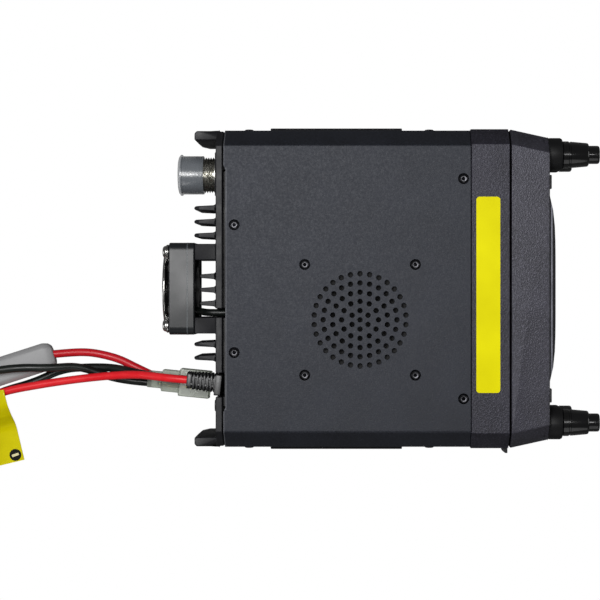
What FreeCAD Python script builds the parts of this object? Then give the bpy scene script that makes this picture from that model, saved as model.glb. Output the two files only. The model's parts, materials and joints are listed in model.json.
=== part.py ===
"""Mobile radio transceiver: a die-cast chassis with a fan-cooled heat sink, pressed covers,
a plastic front shroud and a detachable control head, with its power lead folded back behind it.

Millimetres. The origin is the middle of the underside. +X is the right-hand side seen from the
front, +Y points to the rear and +Z up, so the controls face -Y.
"""
import FreeCAD, Part
import Sketcher
import math
import os
import re

Vector = FreeCAD.Vector

SIZES = {
    # section of the body: flat top and base, sloping shoulders, upright sides
    "body_height": 40.0,
    "cover_half": 69.4,
    "flat_half": 62.4,
    "shoulder_top": 30.0,
    "base_half": 64.4,
    "shoulder_base": 7.0,
    # pressed covers
    "steel": 1.0,
    "bend_radius": 1.2,
    "cover_front": -45.3,
    "cover_rear": 61.2,
    "cover_tab": 62.1,
    "tab_start": 53.6,
    "top_skirt": 24.0,
    "base_skirt": 10.0,
    # small countersunk screws of the covers and the speaker
    "screw_head": 2.05,
    "screw_shank": 1.05,
    "screw_length": 4.4,
    "side_screw_length": 3.2,
    "rear_screw_x": 27.7,
    "rear_screw_y": 57.4,
    "front_screw_x": 47.75,
    "front_screw_y": -42.1,
    "side_screw_z": 27.0,
    "side_screw_rear": 51.6,
    "side_screw_front": -27.6,
    "side_head_proud": 0.6,
    # speaker grille: rings of holes round one in the middle
    "grille_x": -13.5,
    "grille_y": 2.8,
    "grille_pitch": 4.0,
    "grille_hole": 1.1,
    "speaker_square": 24.0,
    "speaker_flange": 27.0,
    "speaker_cone": 23.0,
    "speaker_base": 25.0,
    # chassis casting
    "cast_half": 68.3,
    "cast_wall": 2.5,
    "cast_front": -44.2,
    "deck_top": 16.5,
    "deck_base": 14.0,
    "plate_front": 62.6,
    "plate_rear": 65.5,
    "side_pad_rear": 42.4,
    "side_pad_front": -15.7,
    "side_pad_proud": 1.5,
    "bracket_spacing": 40.0,
    "bracket_z": 17.0,
    "bracket_hole": 2.0,
    "bracket_depth": 6.0,
    # heat sink fins
    "fin_pitch": 5.93,
    "fin_first": 35.1,
    "fin_root": 1.25,
    "fin_tip": 0.85,
    "fin_long": 75.2,
    "fin_short": 72.5,
    "fin_low": 3.0,
    "fin_high": 37.0,
    "foot_inner": 63.0,
    "foot_outer": 69.2,
    "foot_rear": 75.5,
    # fan
    "fan_side": 20.0,
    "fan_corner": 3.5,
    "fan_front": 74.7,
    "fan_rear": 85.8,
    "fan_z": 20.5,
    "fan_bore": 18.7,
    "fan_hub": 10.0,
    "fan_screw": 16.0,
    "fan_screw_shank": 1.5,
    "fan_screw_head": 2.7,
    "fan_lead_x": -10.5,
    "fan_lead_z": 33.5,
    "fan_lead_radius": 1.6,
    "blade_tip": 18.0,
    "wire_half": 0.8,
    # aerial socket and its dust cap
    "aerial_x": 50.3,
    "aerial_z": 20.0,
    "aerial_thread": 7.94,
    "aerial_neck": 6.5,
    "aerial_bare": 71.8,
    "aerial_end": 82.0,
    "aerial_pad": 66.6,
    "cap_front": 72.0,
    "cap_rear": 83.4,
    "cap_outer": 8.5,
    "cap_flange": 9.1,
    # rear sockets
    "jack_bore": 1.8,
    "jack_ring": 2.6,
    "jack_one_x": -51.2,
    "jack_one_z": 29.5,
    "jack_two_x": -55.8,
    "jack_two_z": 20.0,
    "data_x": -54.5,
    "data_z": 10.0,
    "data_shell": 4.75,
    # power lead
    "boot_x": -41.8,
    "boot_z": 20.0,
    "boot_length": 13.5,
    "boot_rib_pitch": 1.55,
    "boot_tilt": -6.0,
    "lead_radius": 1.8,
    # front shroud and control head
    "shroud_front": -62.2,
    "shroud_rear": -45.5,
    "head_rear": -62.9,
    "head_front": -79.7,
    "head_wall": 2.0,
    "lens_half": 41.0,
    "lens_low": 15.5,
    "lens_high": 35.5,
    "platform_front": -85.8,
    "platform_inner": 52.2,
    "platform_outer": 66.0,
    "knob_x": 58.8,
    "volume_z": 28.5,
    "dial_z": 12.5,
    "knob_gap": 0.3,
    "squelch_front": -97.5,
    "volume_front": -102.3,
    "dial_front": -91.7,
    "sleeve": 3.0,
    "spindle": 1.5,
    "key_pitch": 13.0,
    "key_z": 8.0,
    "key_travel": 0.8,
    "key_proud": 1.3,
    "button_x": 46.7,
    "button_z": 31.5,
}

doc = FreeCAD.newDocument("transceiver")
sheet = doc.addObject("Spreadsheet::Sheet", "Sizes")
for row, (alias, size) in enumerate(SIZES.items(), 1):
    sheet.set("A%d" % row, alias)
    sheet.set("B%d" % row, str(size))
    sheet.setAlias("B%d" % row, alias)
doc.recompute()

parts = []


def spelled(text):
    """An expression over the sheet's cells, with each cell's name written in full."""
    return re.sub(r"[a-z]+(_[a-z]+)*", lambda m: "Sizes." + m[0] if m[0] in SIZES else m[0], str(text))


def size(text):
    """What an expression over the sheet's cells comes to."""
    return float(sheet.evalExpression(spelled(text)))


def new_body(name):
    body = doc.addObject("PartDesign::Body", name)
    body.Label = name
    return body


def keep(piece, name):
    """Count a finished object as the sub-part of that name."""
    piece.Label = name
    parts.append(piece)
    return piece


def put(piece, x="0", y="0", z="0"):
    """Hold an object's place by three expressions."""
    for axis, text in (("x", x), ("y", y), ("z", z)):
        piece.setExpression("Placement.Base." + axis, spelled(text))


def sketch_on(body, plane, name, x="0", y="0", lift="0"):
    """A sketch on an origin plane, moved by x and y within the plane and lifted along its normal.

    XY looks up (+Z), XZ looks forwards (-Y) and YZ looks to the right (+X).
    """
    sketch = body.newObject("Sketcher::SketchObject", body.Label + "_" + name)
    base = [o for o in body.Origin.OriginFeatures if o.Role == plane + "_Plane"][0]
    sketch.AttachmentSupport = [(base, "")]
    sketch.MapMode = "FlatFace"
    for axis, text in (("x", x), ("y", y), ("z", lift)):
        sketch.setExpression("AttachmentOffset.Base." + axis, spelled(text))
    return sketch


def hold(sketch, kind, *place, to):
    """A driving constraint whose value is an expression."""
    number = sketch.addConstraint(Sketcher.Constraint(kind, *place, size(to)))
    sketch.setExpression("Constraints[%d]" % number, spelled(to))


def polygon(sketch, points):
    """A closed outline of straight lines through points given as pairs of expressions."""
    first = sketch.GeometryCount
    places = [Vector(size(x), size(y), 0) for x, y in points]
    for here, there in zip(places, places[1:] + places[:1]):
        sketch.addGeometry(Part.LineSegment(here, there), False)
    for step, (x, y) in enumerate(points):
        line = first + step
        following = first + (step + 1) % len(points)
        sketch.addConstraint(Sketcher.Constraint("Coincident", line, 2, following, 1))
        hold(sketch, "DistanceX", -1, 1, line, 1, to=x)
        hold(sketch, "DistanceY", -1, 1, line, 1, to=y)


def rectangle(sketch, left, right, low, high):
    polygon(sketch, [(left, low), (right, low), (right, high), (left, high)])


def circle(sketch, x, y, radius):
    middle = Vector(size(x), size(y), 0)
    number = sketch.addGeometry(Part.Circle(middle, Vector(0, 0, 1), size(radius)), False)
    hold(sketch, "DistanceX", -1, 1, number, 3, to=x)
    hold(sketch, "DistanceY", -1, 1, number, 3, to=y)
    hold(sketch, "Radius", number, to=radius)


def pad(body, sketch, length, reverse=False, middle=False):
    """Grow a sketch along its normal, or the other way with reverse."""
    feature = body.newObject("PartDesign::Pad", sketch.Name + "_pad")
    feature.Profile = sketch
    feature.setExpression("Length", spelled(length))
    feature.Reversed = reverse
    feature.Midplane = middle
    return feature


def pocket(body, sketch, length, reverse=False, middle=False):
    """Cut a sketch away against its normal, or along it with reverse."""
    feature = body.newObject("PartDesign::Pocket", sketch.Name + "_pocket")
    feature.Profile = sketch
    feature.setExpression("Length", spelled(length))
    feature.Reversed = reverse
    feature.Midplane = middle
    return feature


def turned(body, sketch):
    """Turn a sketch once round its own upright axis."""
    feature = body.newObject("PartDesign::Revolution", sketch.Name + "_turned")
    feature.Profile = sketch
    feature.ReferenceAxis = (sketch, ["V_Axis"])
    feature.Angle = 360.0
    return feature


def row(body, features, sketch, axis, pitch, count):
    """Repeat features along a sketch's axis."""
    pattern = body.newObject("PartDesign::LinearPattern", features[0].Name + "_row")
    pattern.Originals = features
    pattern.Direction = (sketch, [axis])
    pattern.Mode = "Spacing"
    pattern.setExpression("Offset", spelled(pitch))
    pattern.Occurrences = count
    body.Tip = pattern
    return pattern


def ring(body, features, sketch, count):
    """Repeat features round a sketch's own centre."""
    pattern = body.newObject("PartDesign::PolarPattern", features[0].Name + "_ring")
    pattern.Originals = features
    pattern.Axis = (sketch, ["N_Axis"])
    pattern.Angle = 360.0
    pattern.Occurrences = count
    body.Tip = pattern
    return pattern


def edges_where(shape, test):
    """Names of a shape's edges whose middle and direction pass a test."""
    names = []
    for number, edge in enumerate(shape.Edges, 1):
        middle = edge.valueAt((edge.FirstParameter + edge.LastParameter) / 2)
        along = edge.tangentAt(edge.FirstParameter)
        if test(middle, along):
            names.append("Edge%d" % number)
    return names


def dressed(body, kind, test, radius):
    """Round or bevel the edges of a body that pass a test."""
    base = body.Tip
    base.Profile[0].recompute()
    base.recompute()
    feature = body.newObject("PartDesign::" + kind, base.Name + "_" + kind.lower())
    feature.Base = (base, edges_where(base.Shape, test))
    feature.setExpression("Radius" if kind == "Fillet" else "Size", spelled(radius))
    return feature


def octagon(gap, low=None, high=None):
    """The body's section moved inwards by gap, as points from the lower left round to the right.

    The base and the top can be given heights of their own, and the slopes then run on to them.
    """
    low = low or gap
    high = high or "body_height - (%s)" % gap
    top_run = "(cover_half - flat_half)"
    top_drop = "(body_height - shoulder_top)"
    base_run = "(cover_half - base_half)"
    base_drop = "shoulder_base"
    top_slant = "sqrt(%s^2 + %s^2)" % (top_run, top_drop)
    base_slant = "sqrt(%s^2 + %s^2)" % (base_run, base_drop)
    side = "cover_half - (%s)" % gap
    top_x = "flat_half + %s / %s * (body_height - (%s)) - (%s) * %s / %s" % (
        top_run, top_drop, high, gap, top_slant, top_drop)
    base_x = "base_half + %s / %s * (%s) - (%s) * %s / %s" % (
        base_run, base_drop, low, gap, base_slant, base_drop)
    upper = "shoulder_top - (%s) * (%s - %s) / %s" % (gap, top_slant, top_drop, top_run)
    lower = "shoulder_base + (%s) * (%s - %s) / %s" % (gap, base_slant, base_drop, base_run)
    right = [(base_x, low), (side, lower), (side, upper), (top_x, high)]
    left = [("-(%s)" % x, z) for x, z in reversed(right)]
    return right + left


def screw_places():
    """Middle of each screw head in a cover, seen from above."""
    rear = [(sign + "rear_screw_x", "rear_screw_y") for sign in ("", "-")]
    front = [(sign + "front_screw_x", "front_screw_y") for sign in ("", "-")]
    return rear + front


def speaker_places():
    """The four corners of the square that holds the speaker."""
    return [("grille_x %s speaker_square" % a, "grille_y %s speaker_square" % b) for a in "+-" for b in "+-"]


def prism(radius, height, sides=8):
    """A pin with a few flats, standing on the origin."""
    corners = [Vector(radius * math.cos(turn), radius * math.sin(turn), 0)
               for turn in (math.pi * (2 * step + 1) / sides for step in range(sides))]
    return Part.Face(Part.makePolygon(corners + corners[:1])).extrude(Vector(0, 0, height))


def many_sided(sketch, x, y, radius, sides=8):
    """A small round outline drawn with a few flats, which keeps holes and pins light."""
    corners = []
    for step in range(sides):
        turn = math.pi * (2 * step + 1) / sides
        corners.append(("(%s) + (%s) * %.6f" % (x, radius, math.cos(turn)),
                        "(%s) + (%s) * %.6f" % (y, radius, math.sin(turn))))
    polygon(sketch, corners)


def screw_seats(body, name, places, level, reverse):
    """Seats for flat screw heads in the outer face of a cover, each with a hole for the shank."""
    for part, radius, depth in (("seats", "screw_head", "steel / 2"), ("holes", "screw_shank", "steel")):
        outline = sketch_on(body, "XY", name + "_" + part, lift=level)
        for x, y in places:
            many_sided(outline, x, y, radius)
        pocket(body, outline, depth, reverse=reverse)


def top_cover():
    """Pressed steel cover with the speaker grille: flat top, sloping shoulders and side skirts."""
    body = new_body("top_cover_pressing")
    outer = octagon("0")
    inner = octagon("steel")
    section = sketch_on(body, "XZ", "section", lift="-cover_tab")
    polygon(section, [("cover_half", "top_skirt")] + outer[2:6] + [("-cover_half", "top_skirt"),
            ("steel - cover_half", "top_skirt")] + inner[2:6][::-1] + [("cover_half - steel", "top_skirt")])
    pad(body, section, "cover_tab - cover_front")
    bend_heights = (size("shoulder_top"), size("body_height"))
    dressed(body, "Fillet", lambda p, d: abs(d.y) > 0.9 and min(abs(p.z - h) for h in bend_heights) < 0.01,
            "bend_radius")
    recess = sketch_on(body, "XY", "rear_recess")
    rectangle(recess, "-tab_start", "tab_start", "cover_rear", "cover_tab + 1")
    pocket(body, recess, "body_height + 1", reverse=True)
    screw_seats(body, "screw", screw_places() + speaker_places(), "body_height", False)
    sides = sketch_on(body, "YZ", "side_holes")
    for place in ("side_screw_rear", "side_screw_front"):
        many_sided(sides, place, "side_screw_z", "screw_shank")
    pocket(body, sides, "3 * cover_half", middle=True)
    punch = doc.addObject("Part::Feature", "grille_punch")
    pitch = size("grille_pitch")
    middles = [Vector(0, 0, 0)]
    for circuit in range(1, 6):
        for step in range(6 * circuit):
            turn = math.tau * step / (6 * circuit)
            middles.append(Vector(math.cos(turn), math.sin(turn), 0) * pitch * circuit)
    hole = prism(size("grille_hole"), 3 * size("steel"), 6)
    punch.Shape = Part.makeCompound([hole.translated(middle) for middle in middles])
    put(punch, "grille_x", "grille_y", "body_height - 2 * steel")
    cover = doc.addObject("Part::Cut", "top_cover")
    cover.Base = body
    cover.Tool = punch
    keep(cover, "top_cover")


def bottom_cover():
    """Pressed steel base: the flat that the radio stands on, with low sloping sides."""
    body = new_body("bottom_cover")
    outer = octagon("0")
    inner = octagon("steel")
    section = sketch_on(body, "XZ", "section", lift="-cover_tab")
    right_hem = [("cover_half", "base_skirt"), ("cover_half - steel", "base_skirt")]
    left_hem = [("steel - cover_half", "base_skirt"), ("-cover_half", "base_skirt")]
    polygon(section, outer[6:] + outer[:2] + right_hem + inner[:2][::-1] + inner[6:][::-1] + left_hem)
    pad(body, section, "cover_tab - cover_front")
    bend_heights = (size("shoulder_base"), 0.0)
    dressed(body, "Fillet", lambda p, d: abs(d.y) > 0.9 and min(abs(p.z - h) for h in bend_heights) < 0.01,
            "bend_radius")
    screw_seats(body, "screw", screw_places(), "0", True)
    keep(body, "bottom_cover")


def plate(body, name, points, front, rear):
    """A slab of the given outline between two depths, front being the lower value of Y."""
    outline = sketch_on(body, "XZ", name, lift="-(%s)" % rear)
    polygon(outline, points)
    return pad(body, outline, "(%s) - (%s)" % (rear, front))


def block(body, name, left, right, front, rear, low, high):
    """A straight-sided lump."""
    outline = sketch_on(body, "XY", name, lift=low)
    rectangle(outline, left, right, front, rear)
    return pad(body, outline, "(%s) - (%s)" % (high, low))


def hollow(body, name, left, right, front, rear, low, high):
    """A straight-sided space."""
    outline = sketch_on(body, "XY", name, lift=low)
    rectangle(outline, left, right, front, rear)
    return pocket(body, outline, "(%s) - (%s)" % (high, low), reverse=True)


def fin(body, name, x, rear):
    """One upright cooling fin: splayed at its root, drafted on both flanks and bevelled at its tip."""
    outline = sketch_on(body, "XY", name, x=x, lift="fin_low")
    side = [("fin_root + 1", "plate_rear - 1"), ("fin_root + 1", "plate_rear"),
            ("fin_root + 0.3", "plate_rear + 0.4"), ("fin_root", "plate_rear + 1.2"),
            ("fin_tip", "(%s) - 0.6" % rear), ("fin_tip - 0.5", rear)]
    polygon(outline, side + [("-(%s)" % across, depth) for across, depth in reversed(side)])
    return outline, pad(body, outline, "fin_high - fin_low")


def fan_screw_places():
    return [("%d * fan_screw" % a, "fan_z + %d * fan_screw" % b) for a in (1, -1) for b in (1, -1)]


def bracket_places():
    """Where a mounting bracket is screwed to either side, as distances to the rear."""
    middle = "(side_pad_rear + side_pad_front) / 2 "
    return [middle + way + " bracket_spacing / 2" for way in "+-"]


def chassis():
    """Die-cast frame: a deck between two side rails, a front wall and a finned rear plate."""
    body = new_body("chassis")
    inner = "cast_half - cast_wall"
    rail = [(inner, "deck_top"), (inner, "shoulder_top - 0.5"), ("cast_half", "shoulder_top - 0.5"),
            ("cast_half", "top_skirt - 0.2"), ("cover_half", "top_skirt - 0.2"),
            ("cover_half", "base_skirt + 0.2"), ("cast_half", "base_skirt + 0.2"),
            ("cast_half", "shoulder_base + 1"), (inner, "shoulder_base + 1"), (inner, "deck_base")]
    mirrored = [("-(%s)" % x, z) for x, z in reversed(rail)]
    plate(body, "rails", rail + mirrored, "cast_front", "plate_front")
    plate(body, "front_wall", octagon("steel + 0.1"), "cast_front", "cast_front + cast_wall")
    plate(body, "rear_plate", octagon("0.4"), "plate_front", "plate_rear")
    for level, low in (("top", "body_height - steel - 4"), ("base", "steel")):
        ledges = sketch_on(body, "XY", level + "_ledges", lift=low)
        rectangle(ledges, "4 - flat_half", "flat_half - 4", "rear_screw_y - 3.4", "plate_front")
        for way in (1, -1):
            middle = "%d * front_screw_x" % way
            rectangle(ledges, middle + " - 4.2", middle + " + 4.2", "cast_front", "front_screw_y + 4.6")
        pad(body, ledges, "4")
        holes = sketch_on(body, "XY", level + "_screw_holes", lift=low)
        for x, y in screw_places():
            many_sided(holes, x, y, "screw_shank")
        pocket(body, holes, "4", reverse=True)
    posts = sketch_on(body, "XY", "board_posts", lift="deck_top")
    for x, y in ((55, -30), (-55, -30), (55, 42), (-55, 42)):
        rectangle(posts, "%d - 3" % x, "%d + 3" % x, "%d - 3" % y, "%d + 3" % y)
    pad(body, posts, "2")
    bosses = sketch_on(body, "YZ", "bracket_bosses", lift="-cast_half + 1")
    for middle in bracket_places():
        rectangle(bosses, middle + " - 4", middle + " + 4", "deck_base", "bracket_z + 5")
    pad(body, bosses, "cast_wall + 4")
    twins = sketch_on(body, "YZ", "bracket_bosses_right", lift="cast_half - 1")
    for middle in bracket_places():
        rectangle(twins, middle + " - 4", middle + " + 4", "deck_base", "bracket_z + 5")
    pad(body, twins, "cast_wall + 4", reverse=True)
    for side, way in (("right", 1), ("left", -1)):
        face = sketch_on(body, "YZ", side + "_pad", lift="%d * cover_half" % way)
        rectangle(face, "side_pad_front", "side_pad_rear", "base_skirt + 1", "top_skirt - 1")
        pad(body, face, "side_pad_proud", reverse=way < 0)
        proud = "%d * (cover_half + side_pad_proud)" % way
        holes = sketch_on(body, "YZ", side + "_bracket_holes", lift=proud)
        for middle in bracket_places():
            circle(holes, middle, "bracket_z", "bracket_hole")
        pocket(body, holes, "bracket_depth", reverse=way < 0)
    for name, place, rear, count in (("long_right", 2, "fin_long", 3), ("short", 7, "fin_short", 3),
                                     ("long_left", 11, "fin_long", 2)):
        outline, first = fin(body, name, "fin_first - %d * fin_pitch" % place, rear)
        row(body, [first], outline, "H_Axis", "fin_pitch", count)
    relief = sketch_on(body, "YZ", "fin_relief")
    polygon(relief, [("fin_long - 2.1", "fin_high + 1"), ("fin_long - 2.1", "fin_high"),
            ("fin_long - 0.6", "fin_high - 1"), ("fin_long + 0.1", "fin_high - 3"),
            ("fin_long + 1", "fin_high - 3"), ("fin_long + 1", "fin_high + 1")])
    pocket(body, relief, "2 * fin_first + 4", middle=True)
    fan_posts = sketch_on(body, "XY", "fan_posts", lift="1")
    feet = sketch_on(body, "XY", "feet", lift="shoulder_base - 2")
    for way in (1, -1):
        middle = "%d * fan_screw" % way
        rectangle(fan_posts, middle + " - 3.5", middle + " + 3.5", "plate_rear - 1", "fan_front")
        corner = [("foot_inner", "plate_rear - 1"), ("foot_outer", "plate_rear - 1"),
                  ("foot_outer", "foot_rear - 1"), ("foot_outer - 1", "foot_rear"),
                  ("foot_inner + 2.5", "foot_rear"), ("foot_inner + 0.8", "foot_rear - 1.5"),
                  ("foot_inner", "foot_rear - 5")]
        polygon(feet, [("%d * (%s)" % (way, x), y) for x, y in corner])
    pad(body, fan_posts, "body_height - 2")
    pad(body, feet, "shoulder_top - shoulder_base + 2")
    slopes = sketch_on(body, "XZ", "foot_slopes", lift="-(foot_rear + 1)")
    for way in (1, -1):
        corner = [("foot_inner - 0.5", "12"), ("foot_inner - 0.5", "shoulder_top + 1"),
                  ("foot_inner + 2.4", "shoulder_top + 1")]
        polygon(slopes, [("%d * (%s)" % (way, x), z) for x, z in corner])
    pocket(body, slopes, "foot_rear + 1 - plate_rear", reverse=True)
    groove = sketch_on(body, "XY", "cover_groove", lift="body_height")
    rectangle(groove, "2.1 - tab_start", "tab_start - 2.1", "cover_rear - 0.2", "plate_front")
    pocket(body, groove, "4")
    plate(body, "aerial_seat", [("aerial_x - 9.6", "aerial_z - 9.6"), ("aerial_x + 9.6", "aerial_z - 9.6"),
          ("aerial_x + 9.6", "aerial_z + 9.6"), ("aerial_x - 9.6", "aerial_z + 9.6")], "plate_rear - 0.5",
          "aerial_pad")
    openings = sketch_on(body, "XZ", "rear_openings", lift="-(aerial_pad)")
    many_sided(openings, "aerial_x", "aerial_z", "aerial_neck + 0.2", 16)
    many_sided(openings, "jack_one_x", "jack_one_z", "jack_ring + 0.2", 12)
    many_sided(openings, "jack_two_x", "jack_two_z", "jack_ring + 0.2", 12)
    many_sided(openings, "data_x", "data_z", "data_shell + 0.1", 16)
    rectangle(openings, "fan_lead_x - 1.9", "fan_lead_x + 1.9", "fan_lead_z - 2", "body_height")
    rectangle(openings, "boot_x - 5.2", "boot_x + 5.2", "boot_z - 6.4", "body_height")
    pocket(body, openings, "aerial_pad - plate_front + 0.5", reverse=True)
    reliefs = sketch_on(body, "XZ", "socket_reliefs", lift="-(plate_front)")
    many_sided(reliefs, "aerial_x", "aerial_z", "aerial_neck + 0.4", 16)
    many_sided(reliefs, "data_x", "data_z", "data_shell + 0.4", 16)
    for x, z in (("jack_one_x", "jack_one_z"), ("jack_two_x", "jack_two_z")):
        rectangle(reliefs, x + " - 4.1", x + " + 4.1", z + " - 4.1", z + " + 4.1")
    rectangle(reliefs, "fan_lead_x - 2", "fan_lead_x + 2", "fan_lead_z - 3.4", "body_height")
    pocket(body, reliefs, "12.5", reverse=True)
    window = sketch_on(body, "XZ", "front_window", lift="-(cast_front + cast_wall + 1)")
    rectangle(window, "-13", "13", "deck_top", "shoulder_top + 2")
    pocket(body, window, "cast_wall + 2", reverse=True)
    sides = sketch_on(body, "YZ", "side_screw_holes")
    for place in ("side_screw_rear", "side_screw_front"):
        many_sided(sides, place, "side_screw_z", "screw_shank")
    pocket(body, sides, "3 * cover_half", middle=True)
    keep(body, "chassis")


def copies(name, master, places):
    """One sub-part made of identical solids: a master turned and moved to each place.

    A place is three expressions, then the axis and the angle of a turn.
    """
    group = []
    for number, (x, y, z, axis, angle) in enumerate(places):
        link = doc.addObject("App::Link", "%s_%d" % (name, number))
        link.LinkedObject = master
        link.Placement = FreeCAD.Placement(Vector(), FreeCAD.Rotation(axis, angle))
        put(link, x, y, z)
        group.append(link)
    compound = doc.addObject("Part::Compound", name)
    compound.Links = group
    keep(compound, name)


def screw_master(name, head, head_height, shank, length):
    """A screw that points down from the underside of its head at the origin."""
    body = new_body(name)
    top = sketch_on(body, "XY", "head")
    many_sided(top, "0", "0", head)
    pad(body, top, head_height)
    pin = sketch_on(body, "XY", "shank")
    many_sided(pin, "0", "0", shank)
    pad(body, pin, length, reverse=True)
    return body


def screws():
    """Fasteners: flat heads in the covers, low heads at the sides and long ones through the fan."""
    x_axis, y_axis = Vector(1, 0, 0), Vector(0, 1, 0)
    slim = "screw_shank - 0.05"
    level = "body_height - steel / 2"
    flat = screw_master("flat_screw", "screw_head - 0.05", "steel / 2", slim, "screw_length")
    top = [(x, y, level, x_axis, 0) for x, y in screw_places()]
    base = [(x, y, "steel / 2", x_axis, 180) for x, y in screw_places()]
    copies("cover_screws", flat, top + base)
    copies("speaker_screws", flat, [(x, y, level, x_axis, 0) for x, y in speaker_places()])
    low = screw_master("side_screw", "screw_head", "side_head_proud", slim, "side_screw_length")
    copies("side_screws", low, [("%d * cover_half" % way, y, "side_screw_z", y_axis, 90 * way)
           for way in (1, -1) for y in ("side_screw_rear", "side_screw_front")])
    through = "fan_rear - fan_front + 5"
    long = screw_master("fan_screw", "fan_screw_head", "1.6", "fan_screw_shank", through)
    copies("fan_screws", long, [(x, "fan_rear + 1.2", z, x_axis, -90) for x, z in fan_screw_places()])


def circuit(radius, level, sides=8, dip=0.0, forwards=False):
    """Corners round the Z axis at a level, or round the Y axis; a dip pulls every other one in by a share."""
    corners = []
    for step in range(sides):
        turn = math.pi * (2 * step + 1) / sides
        reach = radius * (1 - dip * (step % 2))
        across = reach * math.cos(turn)
        aside = reach * math.sin(turn)
        corners.append(Vector(across, level, aside) if forwards else Vector(across, aside, level))
    return corners


def skinned(rims):
    """A solid with flat faces between outlines that have the same number of corners."""
    faces = [Part.Face(Part.makePolygon(rim + rim[:1])) for rim in (rims[0], rims[-1])]
    for lower, upper in zip(rims, rims[1:]):
        for step in range(len(lower)):
            after = (step + 1) % len(lower)
            corners = [lower[step], lower[after], upper[after], upper[step]]
            faces.append(Part.Face(Part.makePolygon(corners + corners[:1])))
    return Part.Solid(Part.Shell(faces))


def featured(name, shape, x="0", y="0", z="0"):
    """A sub-part whose shape is worked out here, put in its place by the sheet."""
    piece = doc.addObject("Part::Feature", name)
    piece.Shape = Part.makeCompound([shape]) if shape.ShapeType != "Compound" else shape
    put(piece, x, y, z)
    return keep(piece, name)


def speaker():
    """A round speaker under the grille: pressed basket, paper cone and magnet."""
    top = size("body_height - steel")
    base = size("speaker_base + 3")
    rim = size("speaker_cone")
    half = size("speaker_flange")
    flange = Part.makeBox(2 * half, 2 * half, 1.2, Vector(-half, -half, top - 1.2))
    bowl = flange.fuse(skinned([circuit(14.2, base, 20), circuit(rim + 2.2, top, 20)]))
    bowl = bowl.cut(skinned([circuit(13.2, base + 1.2, 20), circuit(rim + 1.5, top + 0.1, 20)]))
    square = size("speaker_square")
    for x in (-square, square):
        for y in (-square, square):
            bowl = bowl.cut(prism(size("screw_shank"), 5).translated(Vector(x, y, top - 3)))
    featured("speaker_basket", bowl, "grille_x", "grille_y")
    skin = skinned([circuit(9, base + 2.4, 20), circuit(rim + 0.6, top - 0.6, 20)])
    skin = skin.cut(skinned([circuit(9, base + 2.9, 20), circuit(rim + 0.6, top - 0.1, 20)]))
    coil = skinned([circuit(9, base + 1.2, 20), circuit(9, base + 2.5, 20)])
    featured("speaker_cone", skin.fuse(coil), "grille_x", "grille_y")
    magnet = new_body("speaker_magnet")
    disc = sketch_on(magnet, "XY", "disc", x="grille_x", y="grille_y", lift="speaker_base - 2")
    many_sided(disc, "0", "0", "15", 20)
    pad(magnet, disc, "5")
    keep(magnet, "speaker_magnet")


def boards():
    """The main board on its posts, the can over its radio stage and the output stage on the deck."""
    board = new_body("main_board")
    outline = sketch_on(board, "XY", "outline", lift="deck_top + 2")
    rear = "rear_screw_y - 10"
    polygon(outline, [("-60", "cast_front + 5"), ("-12", "cast_front + 5"), ("-12", "cast_front - 6"),
                      ("12", "cast_front - 6"), ("12", "cast_front + 5"), ("60", "cast_front + 5"),
                      ("60", rear), ("-60", rear)])
    pad(board, outline, "1.6")
    keep(board, "main_board")
    can = new_body("shield_can")
    block(can, "shell", "20", "56", "-28", "34", "deck_top + 3.6", "deck_top + 9.6")
    hollow(can, "inside", "20.5", "55.5", "-27.5", "33.5", "deck_top + 3", "deck_top + 9.1")
    keep(can, "shield_can")
    stage = new_body("power_module")
    block(stage, "flange", "-28", "32", "rear_screw_y - 7", "plate_front - 1", "deck_top", "deck_top + 2")
    block(stage, "cap", "-22", "26", "rear_screw_y - 6", "plate_front - 2", "deck_top + 2", "deck_top + 8")
    keep(stage, "power_module")


def turned_part(name, x, z, profile):
    """A piece of revolution about an axis that runs from front to rear; the profile is in (radius, Y)."""
    body = new_body(name)
    outline = sketch_on(body, "XY", "profile", x=x, lift=z)
    polygon(outline, profile)
    turned(body, outline)
    return keep(body, name)


def aerial_socket():
    """Threaded aerial socket with its insulator and centre contact, and the cap that covers it."""
    bore = "5.6"
    turned_part("aerial_socket", "aerial_x", "aerial_z", [
        (bore, "plate_front - 3"), ("aerial_neck", "plate_front - 3"), ("aerial_neck", "aerial_pad"),
        ("aerial_thread", "aerial_pad"), ("aerial_thread", "aerial_bare"),
        ("aerial_thread - 0.2", "aerial_bare"), ("aerial_thread - 0.2", "aerial_end"),
        (bore, "aerial_end")])
    insulator = new_body("aerial_insulator")
    core = sketch_on(insulator, "XZ", "core", x="aerial_x", y="aerial_z", lift="-(aerial_end - 3)")
    many_sided(core, "0", "0", bore, 16)
    many_sided(core, "0", "0", "2.6")
    pad(insulator, core, "aerial_end - plate_front - 1")
    keep(insulator, "aerial_insulator")
    contact = new_body("aerial_contact")
    pin = sketch_on(contact, "XZ", "pin", x="aerial_x", y="aerial_z", lift="-(aerial_end - 2)")
    many_sided(pin, "0", "0", "2.6")
    pad(contact, pin, "aerial_end - plate_front + 4")
    hole = sketch_on(contact, "XZ", "hole", x="aerial_x", y="aerial_z", lift="-(aerial_end - 2)")
    many_sided(hole, "0", "0", "2")
    pocket(contact, hole, "9", reverse=True)
    keep(contact, "aerial_contact")
    cap = new_body("aerial_cap")
    for name, radius, rear, length, cut in (
            ("wall", "cap_outer", "cap_rear", "cap_rear - cap_front", False),
            ("flange", "cap_flange", "cap_rear", "2.4", False),
            ("bore", "aerial_thread + 0.2", "aerial_end + 0.1", "aerial_end + 0.1 - cap_front", True)):
        outline = sketch_on(cap, "XZ", name, x="aerial_x", y="aerial_z", lift="-(%s)" % rear)
        many_sided(outline, "0", "0", radius, 28)
        pocket(cap, outline, length, reverse=True) if cut else pad(cap, outline, length)
    keep(cap, "aerial_cap")


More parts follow.
